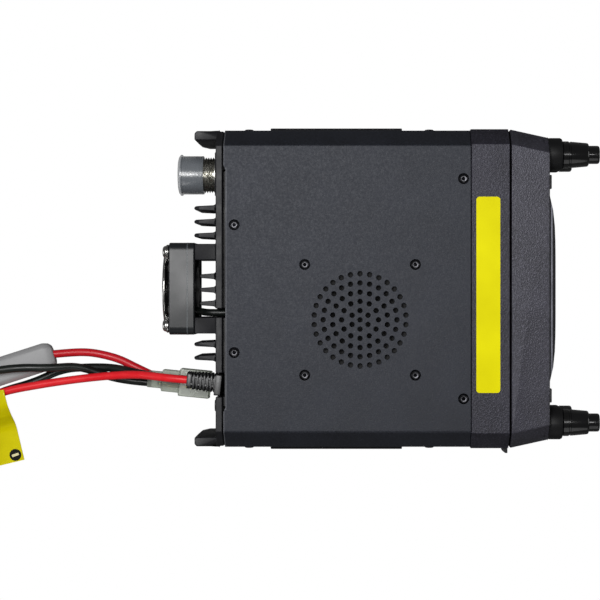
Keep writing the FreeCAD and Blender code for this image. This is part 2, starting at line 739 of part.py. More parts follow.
def fan_frame():
    """Square frame of the fan with a round duct, and three struts that hold the motor's seat."""
    body = new_body("fan_frame")
    outline = sketch_on(body, "XZ", "outline", y="fan_z", lift="-fan_rear")
    nick = "fan_side - fan_corner * 0.3"
    back = "fan_side - fan_corner"
    quarter = [("fan_side", "-(%s)" % back), ("fan_side", back), (nick, nick), (back, "fan_side")]
    ring_points = quarter + [("-(%s)" % x, z) for x, z in reversed(quarter[2:])]
    ring_points += [("-(fan_side)", back), ("-(fan_side)", "-(%s)" % back), ("-(%s)" % nick, "-(%s)" % nick),
                    ("-(%s)" % back, "-(fan_side)"), (back, "-(fan_side)"), (nick, "-(%s)" % nick)]
    polygon(outline, ring_points)
    pad(body, outline, "fan_rear - fan_front")
    duct = sketch_on(body, "XZ", "duct", lift="-fan_rear")
    many_sided(duct, "0", "fan_z", "fan_bore", 32)
    for x, z in fan_screw_places():
        many_sided(duct, x, z, "fan_screw_shank + 0.3")
    pocket(body, duct, "fan_rear - fan_front", reverse=True)
    strut = sketch_on(body, "XZ", "struts", y="fan_z", lift="-fan_front - 1.4")
    rectangle(strut, "-1.4", "1.4", "4", "fan_bore + 0.5")
    ring(body, [pad(body, strut, "1.4")], strut, 3)
    seat = sketch_on(body, "XZ", "motor_seat", lift="-fan_front - 1.4")
    many_sided(seat, "0", "fan_z", "fan_hub", 16)
    pad(body, seat, "1.4")
    keep(body, "fan_frame")


def fan_impeller():
    """Hub with seven blades whose pitch falls off from root to tip."""
    body = new_body("fan_impeller")
    hub = sketch_on(body, "XZ", "hub", y="fan_z", lift="-fan_rear + 0.8")
    many_sided(hub, "0", "0", "fan_hub", 24)
    pad(body, hub, "fan_rear - fan_front - 2.8")
    middle = "(fan_front + fan_rear) / 2 + 0.6"
    blade = sketch_on(body, "YZ", "blade", x=middle, y="fan_z", lift="fan_hub - 1")
    along = Vector(math.cos(math.radians(50)), math.sin(math.radians(50)), 0) * 4.6
    across = Vector(-along.y, along.x, 0).normalize() * 0.45
    corners = [along + across, across - along, -along - across, along - across]
    polygon(blade, [("%.3f" % c.x, "%.3f" % c.y) for c in corners])
    ring(body, [pad(body, blade, "blade_tip - fan_hub + 1")], hub, 7)
    keep(body, "fan_impeller")


def fan_guard():
    """Plated wire guard: three hoops, a middle disc and crossed arms down to the four screws."""
    body = new_body("fan_guard")
    rear = "-(fan_rear + 3.1)"
    for radius in ("7", "12", "17"):
        hoop = sketch_on(body, "XZ", "hoop_" + radius, y="fan_z", lift=rear)
        many_sided(hoop, "0", "0", radius + " + wire_half", 16)
        many_sided(hoop, "0", "0", radius + " - wire_half", 16)
        pad(body, hoop, "2 * wire_half")
    reach = "fan_screw - 2.4"
    slim = "wire_half * 0.9"
    for name, way in (("arm", 1), ("cross", -1)):
        bar = sketch_on(body, "XZ", name, y="fan_z", lift=rear + " + 0.1")
        corners = [("-(%s) - %s" % (reach, slim), "-(%s)" % reach),
                   ("-(%s) + %s" % (reach, slim), "-(%s)" % reach),
                   ("%s + %s" % (reach, slim), reach), ("%s - %s" % (reach, slim), reach)]
        polygon(bar, [(x, "%d * (%s)" % (way, z)) for x, z in corners])
        pad(body, bar, "2 * wire_half - 0.2")
    middle = sketch_on(body, "XZ", "middle", y="fan_z", lift=rear + " + 0.1")
    many_sided(middle, "0", "0", "3.2", 12)
    pad(body, middle, "2 * wire_half - 0.2")
    eyes = sketch_on(body, "XZ", "eyes", lift="-fan_rear - 1.2")
    legs = sketch_on(body, "XZ", "legs", lift=rear + " + 0.1")
    shank_holes = sketch_on(body, "XZ", "shank_holes", lift=rear)
    for across in (1, -1):
        for upwards in (1, -1):
            x, z = "%d * fan_screw" % across, "fan_z + %d * fan_screw" % upwards
            many_sided(eyes, x, z, "fan_screw_head + 0.9")
            many_sided(legs, "%s - %.1f" % (x, 2.7 * across), "%s - %.1f" % (z, 2.7 * upwards), "1.3")
            many_sided(shank_holes, x, z, "fan_screw_shank + 0.1")
    pad(body, eyes, "1.2")
    pad(body, legs, "3")
    pocket(body, shank_holes, "4", reverse=True)
    keep(body, "fan_guard")


def rear_sockets():
    """Two round loudspeaker jacks and a round data socket behind the rear plate."""
    solids = []
    back = Vector(0, 1, 0)
    for x, z in (("jack_one_x", "jack_one_z"), ("jack_two_x", "jack_two_z")):
        middle = Vector(size(x), size("plate_front"), size(z))
        reach = size("plate_rear + 1 - plate_front")
        case = Part.makeBox(7.6, 12, 7.6, middle - Vector(3.8, 12, 3.8))
        ring_outline = [middle + corner for corner in circuit(size("jack_ring"), 0, 12, forwards=True)]
        case = case.fuse(skinned([ring_outline, [corner + back * reach for corner in ring_outline]]))
        solids.append(case.cut(Part.makeCylinder(size("jack_bore"), 14, middle + back * (reach - 14), back)))
    featured("speaker_jacks", Part.makeCompound(solids))
    shell = size("data_shell")
    rear = size("plate_rear")
    case, space, core = [
        skinned([circuit(shell - inwards, rear + front, 16, forwards=True),
                 circuit(shell - inwards, rear + back, 16, forwards=True)])
        for inwards, front, back in ((0, -9.9, 0.6), (0.6, -5.9, 1), (1.5, -6.9, -0.4))]
    featured("data_socket", case.cut(space).fuse(core), "data_x", "0", "data_z")


def front_shroud():
    """Moulded collar between the body and the control head, with the microphone and latch openings."""
    body = new_body("front_shroud")
    plate(body, "collar", octagon("-0.6", "0", "body_height + 0.4"), "shroud_front", "shroud_rear")
    plate(body, "rim", octagon("steel + 0.2"), "shroud_rear - 2", "cast_front")
    inside = sketch_on(body, "XZ", "inside", lift="-(cast_front)")
    polygon(inside, octagon("steel + 1.4"))
    pocket(body, inside, "cast_front - shroud_front - 2.4", reverse=True)
    link = sketch_on(body, "XZ", "link_window", lift="-(shroud_front + 3)")
    rectangle(link, "-12.6", "12.6", "deck_top + 3.4", "shoulder_top + 1.2")
    pocket(body, link, "4", reverse=True)
    hollow(body, "microphone_hole", "-72", "-66", "shroud_rear - 13", "shroud_rear - 1", "9", "17.6")
    hollow(body, "latch_notch", "-72", "-61.5", "shroud_front - 1", "shroud_front + 5", "20.3", "29.4")
    keep(body, "front_shroud")
    jack = new_body("microphone_socket")
    block(jack, "case", "-(cover_half - steel - 1.4)", "-53", "shroud_rear - 13.8", "shroud_rear - 0.3",
          "7.8", "18.8")
    hollow(jack, "mouth", "-68", "-55", "shroud_rear - 12.9", "shroud_rear - 1.1", "9.1", "17.5")
    keep(jack, "microphone_socket")
    plug = new_body("link_socket")
    block(plug, "case", "-12.5", "12.5", "shroud_front + 0.1", "cast_front - 1",
          "deck_top + 3.6", "shoulder_top + 1")
    hollow(plug, "mouth", "-9.4", "9.4", "shroud_front - 1", "shroud_front + 6",
           "deck_top + 5", "shoulder_top - 1")
    keep(plug, "link_socket")
    latch = new_body("release_latch")
    block(latch, "slide", "-68.5", "-63.2", "shroud_front + 0.1", "shroud_front + 4.7", "20.6", "29.1")
    nub = sketch_on(latch, "XY", "nub", lift="21.6")
    polygon(nub, [("-68.4", "shroud_front + 0.2"), ("-72.3", "shroud_front + 0.2"),
            ("-72.3", "shroud_front + 1.2"), ("-71.2", "shroud_front + 2.6"),
            ("-68.4", "shroud_front + 2.6")])
    pad(latch, nub, "6.5")
    block(latch, "tongue", "-66", "-64.4", "shroud_front - 3", "shroud_front + 0.2", "22.5", "27.2")
    keep(latch, "release_latch")


def placed(points, depth):
    """Corners of an outline given as expressions, at one depth of Y."""
    return [Vector(size(x), size(depth), size(z)) for x, z in points]


def head_case():
    """Tapered bezel of the control head with its two knob platforms, windows and rear opening."""
    taper = doc.addObject("Part::Feature", "head_taper")
    taper.Shape = skinned([placed(octagon("-0.5", "0", "body_height + 0.3"), "head_rear"),
                           placed(octagon("3.1", "0.8", "body_height - 1"), "head_front")])
    body = new_body("head_case")
    body.BaseFeature = taper
    for name, gap, low, depth in (("seat", "1.5", "1.5", "2"), ("rear_room", "2.8", "2.8", "7"),
                                  ("front_room", "5.2", "3", "head_rear - head_front - head_wall")):
        room = sketch_on(body, "XZ", name, lift="-(head_rear)")
        polygon(room, octagon(gap, low, "body_height - (%s)" % low))
        pocket(body, room, depth, reverse=True)
    shafts = sketch_on(body, "XZ", "shaft_holes", lift="-(head_front + head_wall + 1)")
    for way in (1, -1):
        platform = sketch_on(body, "XZ", "platform_%s" % ("left" if way < 0 else "right"),
                             lift="-(head_front + head_wall)")
        middle = "(platform_inner + platform_outer) / 2"
        reach = "(platform_outer - platform_inner) / 2"
        points = []
        for level, first in (("volume_z", 0), ("dial_z", 5)):
            for step in range(first, first + 6):
                turn = math.pi * step / 5
                points.append(("%s + %s * %.4f" % (middle, reach, math.cos(turn)),
                               "%s + %s * %.4f" % (level, reach, math.sin(turn))))
        polygon(platform, [("%d * (%s)" % (way, x), z) for x, z in points])
        pad(body, platform, "head_front + head_wall - platform_front")
        for z in ("volume_z", "dial_z"):
            many_sided(shafts, "%d * knob_x" % way, z, "sleeve + 0.2", 14)
    pocket(body, shafts, "head_front + head_wall + 2 - platform_front", reverse=True)
    window = sketch_on(body, "XZ", "windows", lift="-(head_front + head_wall + 1)")
    rectangle(window, "-lens_half - 0.1", "lens_half + 0.1", "lens_low - 0.1", "lens_high + 0.1")
    for place in range(6):
        middle = "key_pitch * %.1f" % (place - 2.5)
        rectangle(window, middle + " - 4.65", middle + " + 4.65", "key_z - 2.45", "key_z + 2.45")
    for way in (1, -1):
        middle = "%d * button_x" % way
        rectangle(window, middle + " - 3.2", middle + " + 3.2", "button_z - 2.3", "button_z + 2.3")
    many_sided(window, "-button_x", "key_z", "3.15", 12)
    pocket(body, window, "head_wall + 2", reverse=True)
    keep(body, "head_case")


def head_inside():
    """What the control head holds: its rear cover, board, link plug, display and switches."""
    back = new_body("head_back")
    plate(back, "cover", octagon("1.6"), "head_rear - 2", "head_rear")
    openings = sketch_on(back, "XZ", "openings", lift="-(head_rear)")
    rectangle(openings, "-10", "10", "deck_top + 4.6", "shoulder_top - 0.6")
    rectangle(openings, "-66.2", "-62.6", "22.2", "27.5")
    pocket(back, openings, "2", reverse=True)
    keep(back, "head_back")
    board = new_body("head_board")
    plate(board, "board", octagon("3.4"), "head_rear - 7", "head_rear - 5.4")
    keep(board, "head_board")
    plug = new_body("head_plug")
    block(plug, "plug", "-9.1", "9.1", "head_rear - 5.4", "shroud_front + 4.2",
          "deck_top + 5.2", "shoulder_top - 1.2")
    keep(plug, "head_plug")
    lens = new_body("display_lens")
    outline = sketch_on(lens, "XY", "outline", lift="lens_low")
    front = []
    for step in range(13):
        turn = step / 6 - 1
        front.append(("%.4f * lens_half" % turn, "head_front - 0.2 - %.4f" % (2.6 * (1 - abs(turn) ** 5))))
    behind = "head_front + head_wall"
    polygon(outline, [("lens_half", behind), ("-lens_half", behind)] + front)
    pad(lens, outline, "lens_high - lens_low")
    keep(lens, "display_lens")
    panel = new_body("display_panel")
    block(panel, "panel", "-lens_half - 1", "lens_half + 1", behind + " + 0.1", "head_rear - 7",
          "lens_low - 1.5", "lens_high + 1")
    keep(panel, "display_panel")
    front_wall = size("head_front + head_wall + 0.2")
    board_face = size("head_rear - 7")
    for name, z, radius in (("volume_pots", "volume_z", 4.2), ("dial_encoders", "dial_z", 4.8)):
        solids = []
        for way in (1, -1):
            case = skinned([circuit(radius, board_face, 12, forwards=True),
                            circuit(radius, front_wall, 12, forwards=True)])
            hole = skinned([circuit(3.2, -71.2, 14, forwards=True),
                            circuit(3.2, front_wall - 1, 14, forwards=True)])
            solids.append(case.cut(hole).translated(Vector(way * size("knob_x"), 0, size(z))))
        featured(name, Part.makeCompound(solids))
    places = [("key_pitch * %.1f" % (place - 2.5), "key_z") for place in range(6)]
    places += [("-button_x", "key_z"), ("button_x", "button_z"), ("-button_x", "button_z")]
    solids = [Part.makeBox(4.6, 5.6, 3.6, Vector(size(x) - 2.3, board_face - 5.6, size(z) - 1.8))
              for x, z in places]
    featured("key_switches", Part.makeCompound(solids))


def knobs():
    """Two pairs of stacked volume and squelch knobs, and the two tuning dials under them."""
    for side, way in (("left", "-"), ("right", "")):
        x = way + "knob_x"
        face = size("platform_front - knob_gap")
        front = size("squelch_front")
        skirt = skinned([circuit(5.9, face, 32, 0.07, True), circuit(5.3, front + 0.8, 32, 0.07, True),
                         circuit(4.8, front, 32, 0.07, True)])
        shaft = skinned([circuit(3, face - 1, 14, forwards=True), circuit(3, -71.5, 14, forwards=True)])
        bore = skinned([circuit(1.75, -71, 12, forwards=True), circuit(1.75, front - 1, 12, forwards=True)])
        featured("squelch_knob_" + side, skirt.fuse(shaft).cut(bore), x, "0", "volume_z")
        end = size("volume_front")
        tip = skinned([circuit(4, front - 0.3, 24, 0.07, True), circuit(3.9, end + 0.6, 24, 0.07, True),
                       circuit(3.4, end, 24, 0.07, True)])
        stem = skinned([circuit(1.5, -71.5, 12, forwards=True), circuit(1.5, front - 1, 12, forwards=True)])
        featured("volume_knob_" + side, tip.fuse(stem), x, "0", "volume_z")
        front = size("dial_front")
        wheel = skinned([circuit(6.5, face, 40, 0.07, True), circuit(6.5, front + 0.8, 40, 0.07, True),
                         circuit(5.8, front, 40, 0.07, True)])
        shaft = skinned([circuit(3, face - 1, 14, forwards=True), circuit(3, -71.5, 14, forwards=True)])
        featured("dial_knob_" + side, wheel.fuse(shaft), x, "0", "dial_z")


def push_key(name, x, z, half_width, half_height, sides=4):
    """A key with a flange behind the wall of the head, which stops it from falling out."""
    body = new_body(name)
    cap = sketch_on(body, "XZ", "cap", lift="-(head_front + head_wall + 0.4)")
    flange = sketch_on(body, "XZ", "flange", lift="-(head_front + head_wall + 1.2)")
    for outline, extra in ((cap, 0), (flange, 0.8)):
        if sides == 4:
            across, up = half_width + extra, half_height + extra
            rectangle(outline, "%s - %.2f" % (x, across), "%s + %.2f" % (x, across),
                      "%s - %.2f" % (z, up), "%s + %.2f" % (z, up))
        else:
            many_sided(outline, x, z, "%.2f" % (half_width + extra), sides)
    pad(body, cap, "head_wall + 0.4 + key_proud")
    pad(body, flange, "0.8")
    keep(body, name)


def keys():
    """Six keys in a row, the round power key and two upright buttons beside the display."""
    for place in range(6):
        push_key("key_%d" % (place + 1), "key_pitch * %.1f" % (place - 2.5), "key_z", 4.5, 2.3)
    push_key("power_key", "-button_x", "key_z", 3.0, 3.0, 12)
    push_key("button_left", "-button_x", "button_z", 3.05, 2.15)
    push_key("button_right", "button_x", "button_z", 3.05, 2.15)


def boot():
    """Ribbed strain relief of the power lead: a tall block in the plate's slot, a core and ribs."""
    body = new_body("power_boot")
    block(body, "neck", "-4.6", "4.6", "-2.3", "0.4", "-6.1", "body_height - boot_z - 1")
    stages = [("core", "0.3", "boot_length", 3.2, 4.8, 1.6)]
    for place in range(8):
        front = "1.2 + %d * boot_rib_pitch" % place
        stages.append(("rib_%d" % place, front, front + " + 0.9", 4.15 - 0.05 * place, 5.7, 2.4))
    for name, front, rear, half, tall, cut in stages:
        corners = [(half, -tall + cut), (half, tall - cut), (half - cut, tall), (cut - half, tall),
                   (-half, tall - cut), (-half, cut - tall), (cut - half, -tall), (half - cut, -tall)]
        plate(body, name, [("%.2f" % x, "%.2f" % z) for x, z in corners], front, rear)
    put(body, "boot_x", "plate_rear", "boot_z")
    body.setExpression("Placement.Rotation.Angle", "Sizes.boot_tilt")
    keep(body, "power_boot")


def cord(name, points, radius):
    """A round lead: straight runs joined by arcs that touch them, filled with a six-sided section."""
    places = [Vector(*point) for point in points]
    edges = []
    radii = []
    start = places[0]
    for before, here, after in zip(places, places[1:], places[2:]):
        come = (here - before)
        go = (after - here)
        half_turn = come.getAngle(go) / 2
        cut = 0.45 * min(come.Length, go.Length)
        radii.append(cut / math.tan(half_turn))
        come.normalize()
        go.normalize()
        first = here - come * cut
        last = here + go * cut
        inwards = (go - come).normalize()
        centre = here + inwards * (radii[-1] / math.cos(half_turn))
        middle = centre - inwards * radii[-1]
        edges.append(Part.LineSegment(start, first).toShape())
        edges.append(Part.Arc(first, middle, last).toShape())
        start = last
    edges.append(Part.LineSegment(start, places[-1]).toShape())
    path = Part.Wire(edges)
    along = (places[1] - places[0]).normalize()
    turn = FreeCAD.Rotation(Vector(0, 0, 1), along)
    rim = [places[0] + turn.multVec(corner) for corner in circuit(radius * 1.05, 0, 6)]
    tube = path.makePipeShell([Part.makePolygon(rim + rim[:1])], True, False)
    section = Part.Face(Part.makePolygon(rim + rim[:1])).Area
    FreeCAD.Console.PrintMessage("%s: length %.1f, volume %.1f of %.1f, least radius %.1f\n" % (
        name, path.Length, abs(tube.Volume), section * path.Length, min(radii)))
    return tube


RED_ROUTE = [
    (-40.5, 77.7, 22), (-39.6, 88.5, 22), (-38.2, 101, 15), (-38.9, 114, 10.6), (-40.6, 130, 8.3),
    (-43.2, 147.5, 7), (-46.6, 165.5, 6.2), (-53.5, 181, 5.8), (-67, 196.5, 5.6), (-82, 211, 5),
    (-87.5, 228, 4.6), (-80, 245, 4.5), (-63, 249.5, 4.5), (-50.5, 236, 4.5), (-48.8, 216, 4.5),
    (-46.3, 195.5, 4.5), (-40.8, 177.2, 4.5)]
BLACK_ROUTE = [
    (-40.5, 77.7, 18), (-40.1, 87.8, 17.8), (-38.2, 101.5, 10.1), (-35.6, 113.5, 4.6), (-35.5, 126, 1.9),
    (-36.4, 138.2, 1.9), (-42.5, 150.5, 1.9), (-46.6, 166, 1.9), (-54, 179.5, 1.9), (-69, 193.5, 1.9),
    (-86, 207, 1.9), (-93.5, 225, 1.9), (-90.5, 244.5, 1.9), (-75.5, 255.5, 1.9), (-57, 252.5, 1.9),
    (-45, 238, 1.9), (-42.6, 219.5, 2.6), (-39, 201, 6.8), (-37.4, 185, 11.6), (-37.4, 171, 13.2),
    (-35.2, 155.5, 13.2), (-35.6, 142, 11.7), (-34.7, 129.5, 8), (-39.2, 118.2, 5.1), (-41.7, 107, 4.3),
    (-42.4, 97, 4.3)]
FUSED_ROUTE = [
    (-29.8, 144, 4.5), (-28.8, 133.9, 4.7), (-28.6, 125.7, 4.9), (-29.8, 118.5, 5), (-31.9, 111.2, 4.7),
    (-35.3, 104.6, 4.4), (-38.9, 97, 4.3)]


def power_lead():
    """Red and black leads from the boot to the plug, the red one through a fuse holder, and a tag."""
    for name, route in (("red_lead", RED_ROUTE), ("black_lead", BLACK_ROUTE), ("fused_lead", FUSED_ROUTE)):
        featured(name, cord(name, route, size("lead_radius")))
    feed = [(-10.5, 58, 32.6), (-10.5, 67.6, 34.2), (-10.2, 72.2, 30.4), (-9.2, 75, 22.5)]
    featured("fan_lead", cord("fan_lead", feed, size("fan_lead_radius")))
    rims = []
    for y, share in ((-19.4, 0.62), (-17.8, 0.88), (-15.5, 1), (15.5, 1), (17.8, 0.88), (19.4, 0.62)):
        corners = [(6.3, -2.4), (6.3, 2.4), (4.4, 4.5), (-4.4, 4.5),
                   (-6.3, 2.4), (-6.3, -2.4), (-4.4, -4.5), (4.4, -4.5)]
        rims.append([Vector(x * share, y, 4.5 + z * share) for x, z in corners])
    holder = featured("fuse_holder", skinned(rims), "-35.45", "159.5", "0")
    holder.setExpression("Placement.Rotation.Angle", "17.8")
    plug = new_body("power_plug")
    for name, half, front, rear, low, high in (
            ("mouth", 6.2, "0", "14", "0", "8.6"), ("waist", 4.9, "13.9", "21.9", "0.5", "8.1"),
            ("tail", 3.7, "21.8", "28.4", "1.2", "7.4")):
        block(plug, name, "-%.1f" % half, "%.1f" % half, front, rear, low, high)
    for way in (1, -1):
        middle = "%d * 1.75" % way
        side = "right" if way > 0 else "left"
        mouth = "%d * 3.1" % way
        hollow(plug, "mouth_" + side, mouth + " - 2.4", mouth + " + 2.4", "-1", "13", "1.2", "7.4")
        hollow(plug, "way_" + side, middle + " - 1.1", middle + " + 1.1", "12", "24", "3.2", "5.4")
    put(plug, "-43.4", "70.4", "0")
    plug.setExpression("Placement.Rotation.Angle", "-5.7")
    keep(plug, "power_plug")
    blades = [Part.makeBox(2.0, 19, 0.8, Vector(way * 1.75 - 1, 4, 3.9)) for way in (1, -1)]
    terminals = featured("plug_terminals", Part.makeCompound(blades), "-43.4", "70.4", "0")
    terminals.setExpression("Placement.Rotation.Angle", "-5.7")
    tag = new_body("cable_tag")
    profile = sketch_on(tag, "XZ", "profile")
    under = [(1.2, 8.9), (-1, 9.3), (-6.6, 9.0), (-11, 5.6), (-14.6, 1.3), (-17.2, 0.1), (-32.1, 0.1)]
    over = [(-32.1, 0.6), (-17, 0.6), (-14.3, 1.9), (-10.7, 6.1), (-6.4, 9.5), (-0.9, 9.8), (1.2, 9.4)]
    polygon(profile, [(str(x), str(z)) for x, z in under + over])
    pad(tag, profile, "26", reverse=True)
    put(tag, "-46.5", "162.7", "0")
    tag.setExpression("Placement.Rotation.Angle", "13.5")
    keep(tag, "cable_tag")


for make in (top_cover, bottom_cover, chassis, screws, speaker, boards, aerial_socket, fan_frame,
             fan_impeller, fan_guard, rear_sockets, front_shroud, head_case, head_inside, knobs, keys, boot,
             power_lead):
    make()
doc.recompute()
for item in doc.Objects:
    if "Invalid" in item.State or "Error" in item.State:
        raise RuntimeError("%s did not compute: %s" % (item.Name, item.State))
    if item.TypeId == "PartDesign::Pocket" and item.Shape.Volume > item.BaseFeature.Shape.Volume - 1e-3:
        raise RuntimeError(item.Name + " takes nothing away")
os.makedirs("parts", exist_ok=True)
for piece in parts:
    if piece.Shape.isNull() or not piece.Shape.isValid():
        raise RuntimeError(piece.Label + " has no sound shape")
    piece.Shape.exportStep("parts/%s.step" % piece.Label)
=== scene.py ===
import json
import math
import bmesh
import bpy
import numpy as np
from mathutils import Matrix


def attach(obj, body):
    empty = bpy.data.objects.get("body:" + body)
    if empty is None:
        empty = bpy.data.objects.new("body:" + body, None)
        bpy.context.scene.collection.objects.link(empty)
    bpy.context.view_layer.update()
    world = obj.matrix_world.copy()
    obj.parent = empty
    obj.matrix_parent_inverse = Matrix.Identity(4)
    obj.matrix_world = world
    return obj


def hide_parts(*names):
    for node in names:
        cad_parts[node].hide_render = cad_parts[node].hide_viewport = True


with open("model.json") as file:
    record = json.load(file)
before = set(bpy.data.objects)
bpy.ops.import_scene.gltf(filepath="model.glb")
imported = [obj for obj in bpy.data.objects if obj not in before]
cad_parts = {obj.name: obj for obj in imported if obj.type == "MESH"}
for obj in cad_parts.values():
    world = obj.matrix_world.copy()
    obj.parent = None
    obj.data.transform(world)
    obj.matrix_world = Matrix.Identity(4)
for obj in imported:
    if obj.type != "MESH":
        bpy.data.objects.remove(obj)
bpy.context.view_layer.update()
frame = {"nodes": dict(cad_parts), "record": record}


# The view. The radio lies on its base and is seen from straight above, with its front to the right
# of the picture and its right-hand side at the top.
def new_object(name, data):
    """An object that shows this data, put into the scene."""
    fresh = bpy.data.objects.new(name, data)
    bpy.context.scene.collection.objects.link(fresh)
    return fresh


EYE_HEIGHT = 0.8899
FOCAL_LENGTH = 117.6
SENSOR = 36.0
PICTURE = 600
PIXELS_ASIDE, PIXELS_UP = -66.5, -11.3
eye = new_object("eye", bpy.data.cameras.new("eye"))
eye.data.lens = FOCAL_LENGTH
eye.data.sensor_width = SENSOR
eye.data.shift_x = PIXELS_ASIDE / PICTURE
eye.data.shift_y = PIXELS_UP / PICTURE
eye.location = (0, 0, EYE_HEIGHT)
eye.rotation_euler = (0, 0, -math.pi / 2)
bpy.context.scene.camera = eye
bpy.context.scene.view_settings.view_transform = "Standard"


# The studio: a white table that keeps a soft shadow, an open white room and five soft lamps.
# The table and the room look white to the camera and through glass, and hardly show in gloss.
class Reading:
    """A number that changes over a surface. Arithmetic on it adds the nodes that work it out."""

    def __init__(self, nodes, output):
        self.nodes = nodes
        self.output = output

    def math(self, operation, *others):
        return self.nodes.node("ShaderNodeMath", {"operation": operation}, [self, *others])

    def __add__(self, other):
        return self.math("ADD", other)

    def __sub__(self, other):
        return self.math("SUBTRACT", other)

    def __rsub__(self, other):
        return self.nodes.node("ShaderNodeMath", {"operation": "SUBTRACT"}, [other, self])

    def __mul__(self, other):
        return self.math("MULTIPLY", other)

    __radd__ = __add__
    __rmul__ = __mul__

    def above(self, edge):
        """1 where the number is greater than edge, and 0 elsewhere."""
        return self.math("GREATER_THAN", edge)

    def away(self, middle, reach):
        """1 where the number is more than reach from middle, and 0 elsewhere."""
        return (self - middle).math("ABSOLUTE").above(reach)

    def near(self, middle, reach):
        """1 where the number is within reach of middle, and 0 elsewhere."""
        return 1 - self.away(middle, reach)

    def spread(self, low, high, first=0.0, last=1.0):
        """The range from low to high stretched over first to last, and held beyond its ends."""
        return self.nodes.node("ShaderNodeMapRange", {}, [self, low, high, first, last])


class Nodes:
    """The shader nodes of the room or of a material."""

    def __init__(self, tree):
        self.tree = tree

    def node(self, kind, settings, sockets, output=0):
        """A new node: its settings first, then the values or links of its sockets."""
        fresh = self.tree.nodes.new(kind)
        for key, value in settings.items():
            setattr(fresh, key, value)
        for key, value in sockets.items() if isinstance(sockets, dict) else enumerate(sockets):
            self.feed(fresh.inputs[key], value)
        return Reading(self, fresh.outputs[output])

    def feed(self, socket, value):
        """Link a reading to a socket, or give the socket a value of its own."""
        if isinstance(value, Reading):
            self.tree.links.new(value.output, socket)
        else:
            socket.default_value = value


class Finish(Nodes):
    """A material built up from nodes; its surface is one Principled shader."""

    def __init__(self, name, colour, rough=0.5, metal=0.0, specular=0.5):
        self.material = bpy.data.materials.new(name)
        self.material.use_nodes = True
        super().__init__(self.material.node_tree)
        self.surface = self.tree.nodes["Principled BSDF"]
        self.painted = colour
        self.set("Base Color", (*colour, 1))
        self.set("Roughness", rough)
        self.set("Metallic", metal)
        self.set("Specular IOR Level", specular)

    def set(self, socket, value):
        self.feed(self.surface.inputs[socket], value)

    def place(self, stretch=(1, 1, 1)):
        """Where a point lies in the object, in metres, with each direction stretched."""
        here = self.node("ShaderNodeTexCoord", {}, [], 3)
        if stretch == (1, 1, 1):
            return here
        return self.node("ShaderNodeMapping", {}, {"Vector": here, "Scale": stretch})

    def along(self, axis):
        """One coordinate of a point, in millimetres."""
        return self.node("ShaderNodeSeparateXYZ", {}, [self.place()], axis) * 1000

    def noise(self, size_mm, detail=2.0, stretch=(1, 1, 1), rough=0.5):
        """Soft cloudy variation whose patches are about size_mm across; from about 0.2 to 0.8."""
        return self.node("ShaderNodeTexNoise", {}, {
            "Vector": self.place(stretch), "Scale": 1000 / size_mm,
            "Detail": detail, "Roughness": rough})

    def cells(self, size_mm):
        """Distance to the nearest of scattered points about size_mm apart, as a share of that."""
        return self.node("ShaderNodeTexVoronoi", {}, {
            "Vector": self.place(), "Scale": 1000 / size_mm})

    def blend(self, share, first, second):
        """From the first colour to the second as share goes from 0 to 1."""
        pair = [c if isinstance(c, Reading) else (*c, 1) for c in (first, second)]
        sockets = {0: share, 6: pair[0], 7: pair[1]}
        return self.node("ShaderNodeMix", {"data_type": "RGBA"}, sockets, 2)

    def paint(self, share, first, second):
        """Colour the surface from first to second."""
        self.painted = self.blend(share, first, second)
        self.set("Base Color", self.painted)

    def paint_over(self, share, colour):
        """Lay another colour over what is painted so far, where share is 1."""
        self.paint(share, self.painted, colour)

    def relief(self, height, depth_mm, strength=1.0):
        """Raise the surface by a reading, whose full range is depth_mm."""
        self.set("Normal", self.node("ShaderNodeBump", {}, {
            "Strength": strength, "Distance": depth_mm / 1000, "Height": height}))


def shade(red, green, blue):
    """A colour given as screen levels from 0 to 255, turned into light."""
    levels = np.array([red, green, blue]) / 255
    light = np.where(levels <= 0.04045, levels / 12.92, ((levels + 0.055) / 1.055) ** 2.4)
    return tuple(light.tolist())


ROOM_LIGHT = 0.08
GLOSS = 0.04  # the share of the white glow that gloss sees


def seen_white(nodes, shader):
    """Mix a white glow into a shader, in full for camera and transmitted rays, little for gloss."""
    camera, glass, gloss = [nodes.node("ShaderNodeLightPath", {}, [], "Is %s Ray" % ray)
                            for ray in ("Camera", "Transmission", "Glossy")]
    share = camera.math("MAXIMUM", glass).math("MAXIMUM", gloss * GLOSS)
    in_room = shader.type == "BACKGROUND"
    glow = nodes.node("ShaderNodeBackground" if in_room else "ShaderNodeEmission", {},
                      [(1, 1, 1, 1), 1.0])
    mixed = nodes.node("ShaderNodeMixShader", {}, [share, Reading(nodes, shader.outputs[0]), glow])
    ends = [n for n in nodes.tree.nodes if n.type in ("OUTPUT_WORLD", "OUTPUT_MATERIAL")]
    nodes.feed(ends[0].inputs["Surface"], mixed)


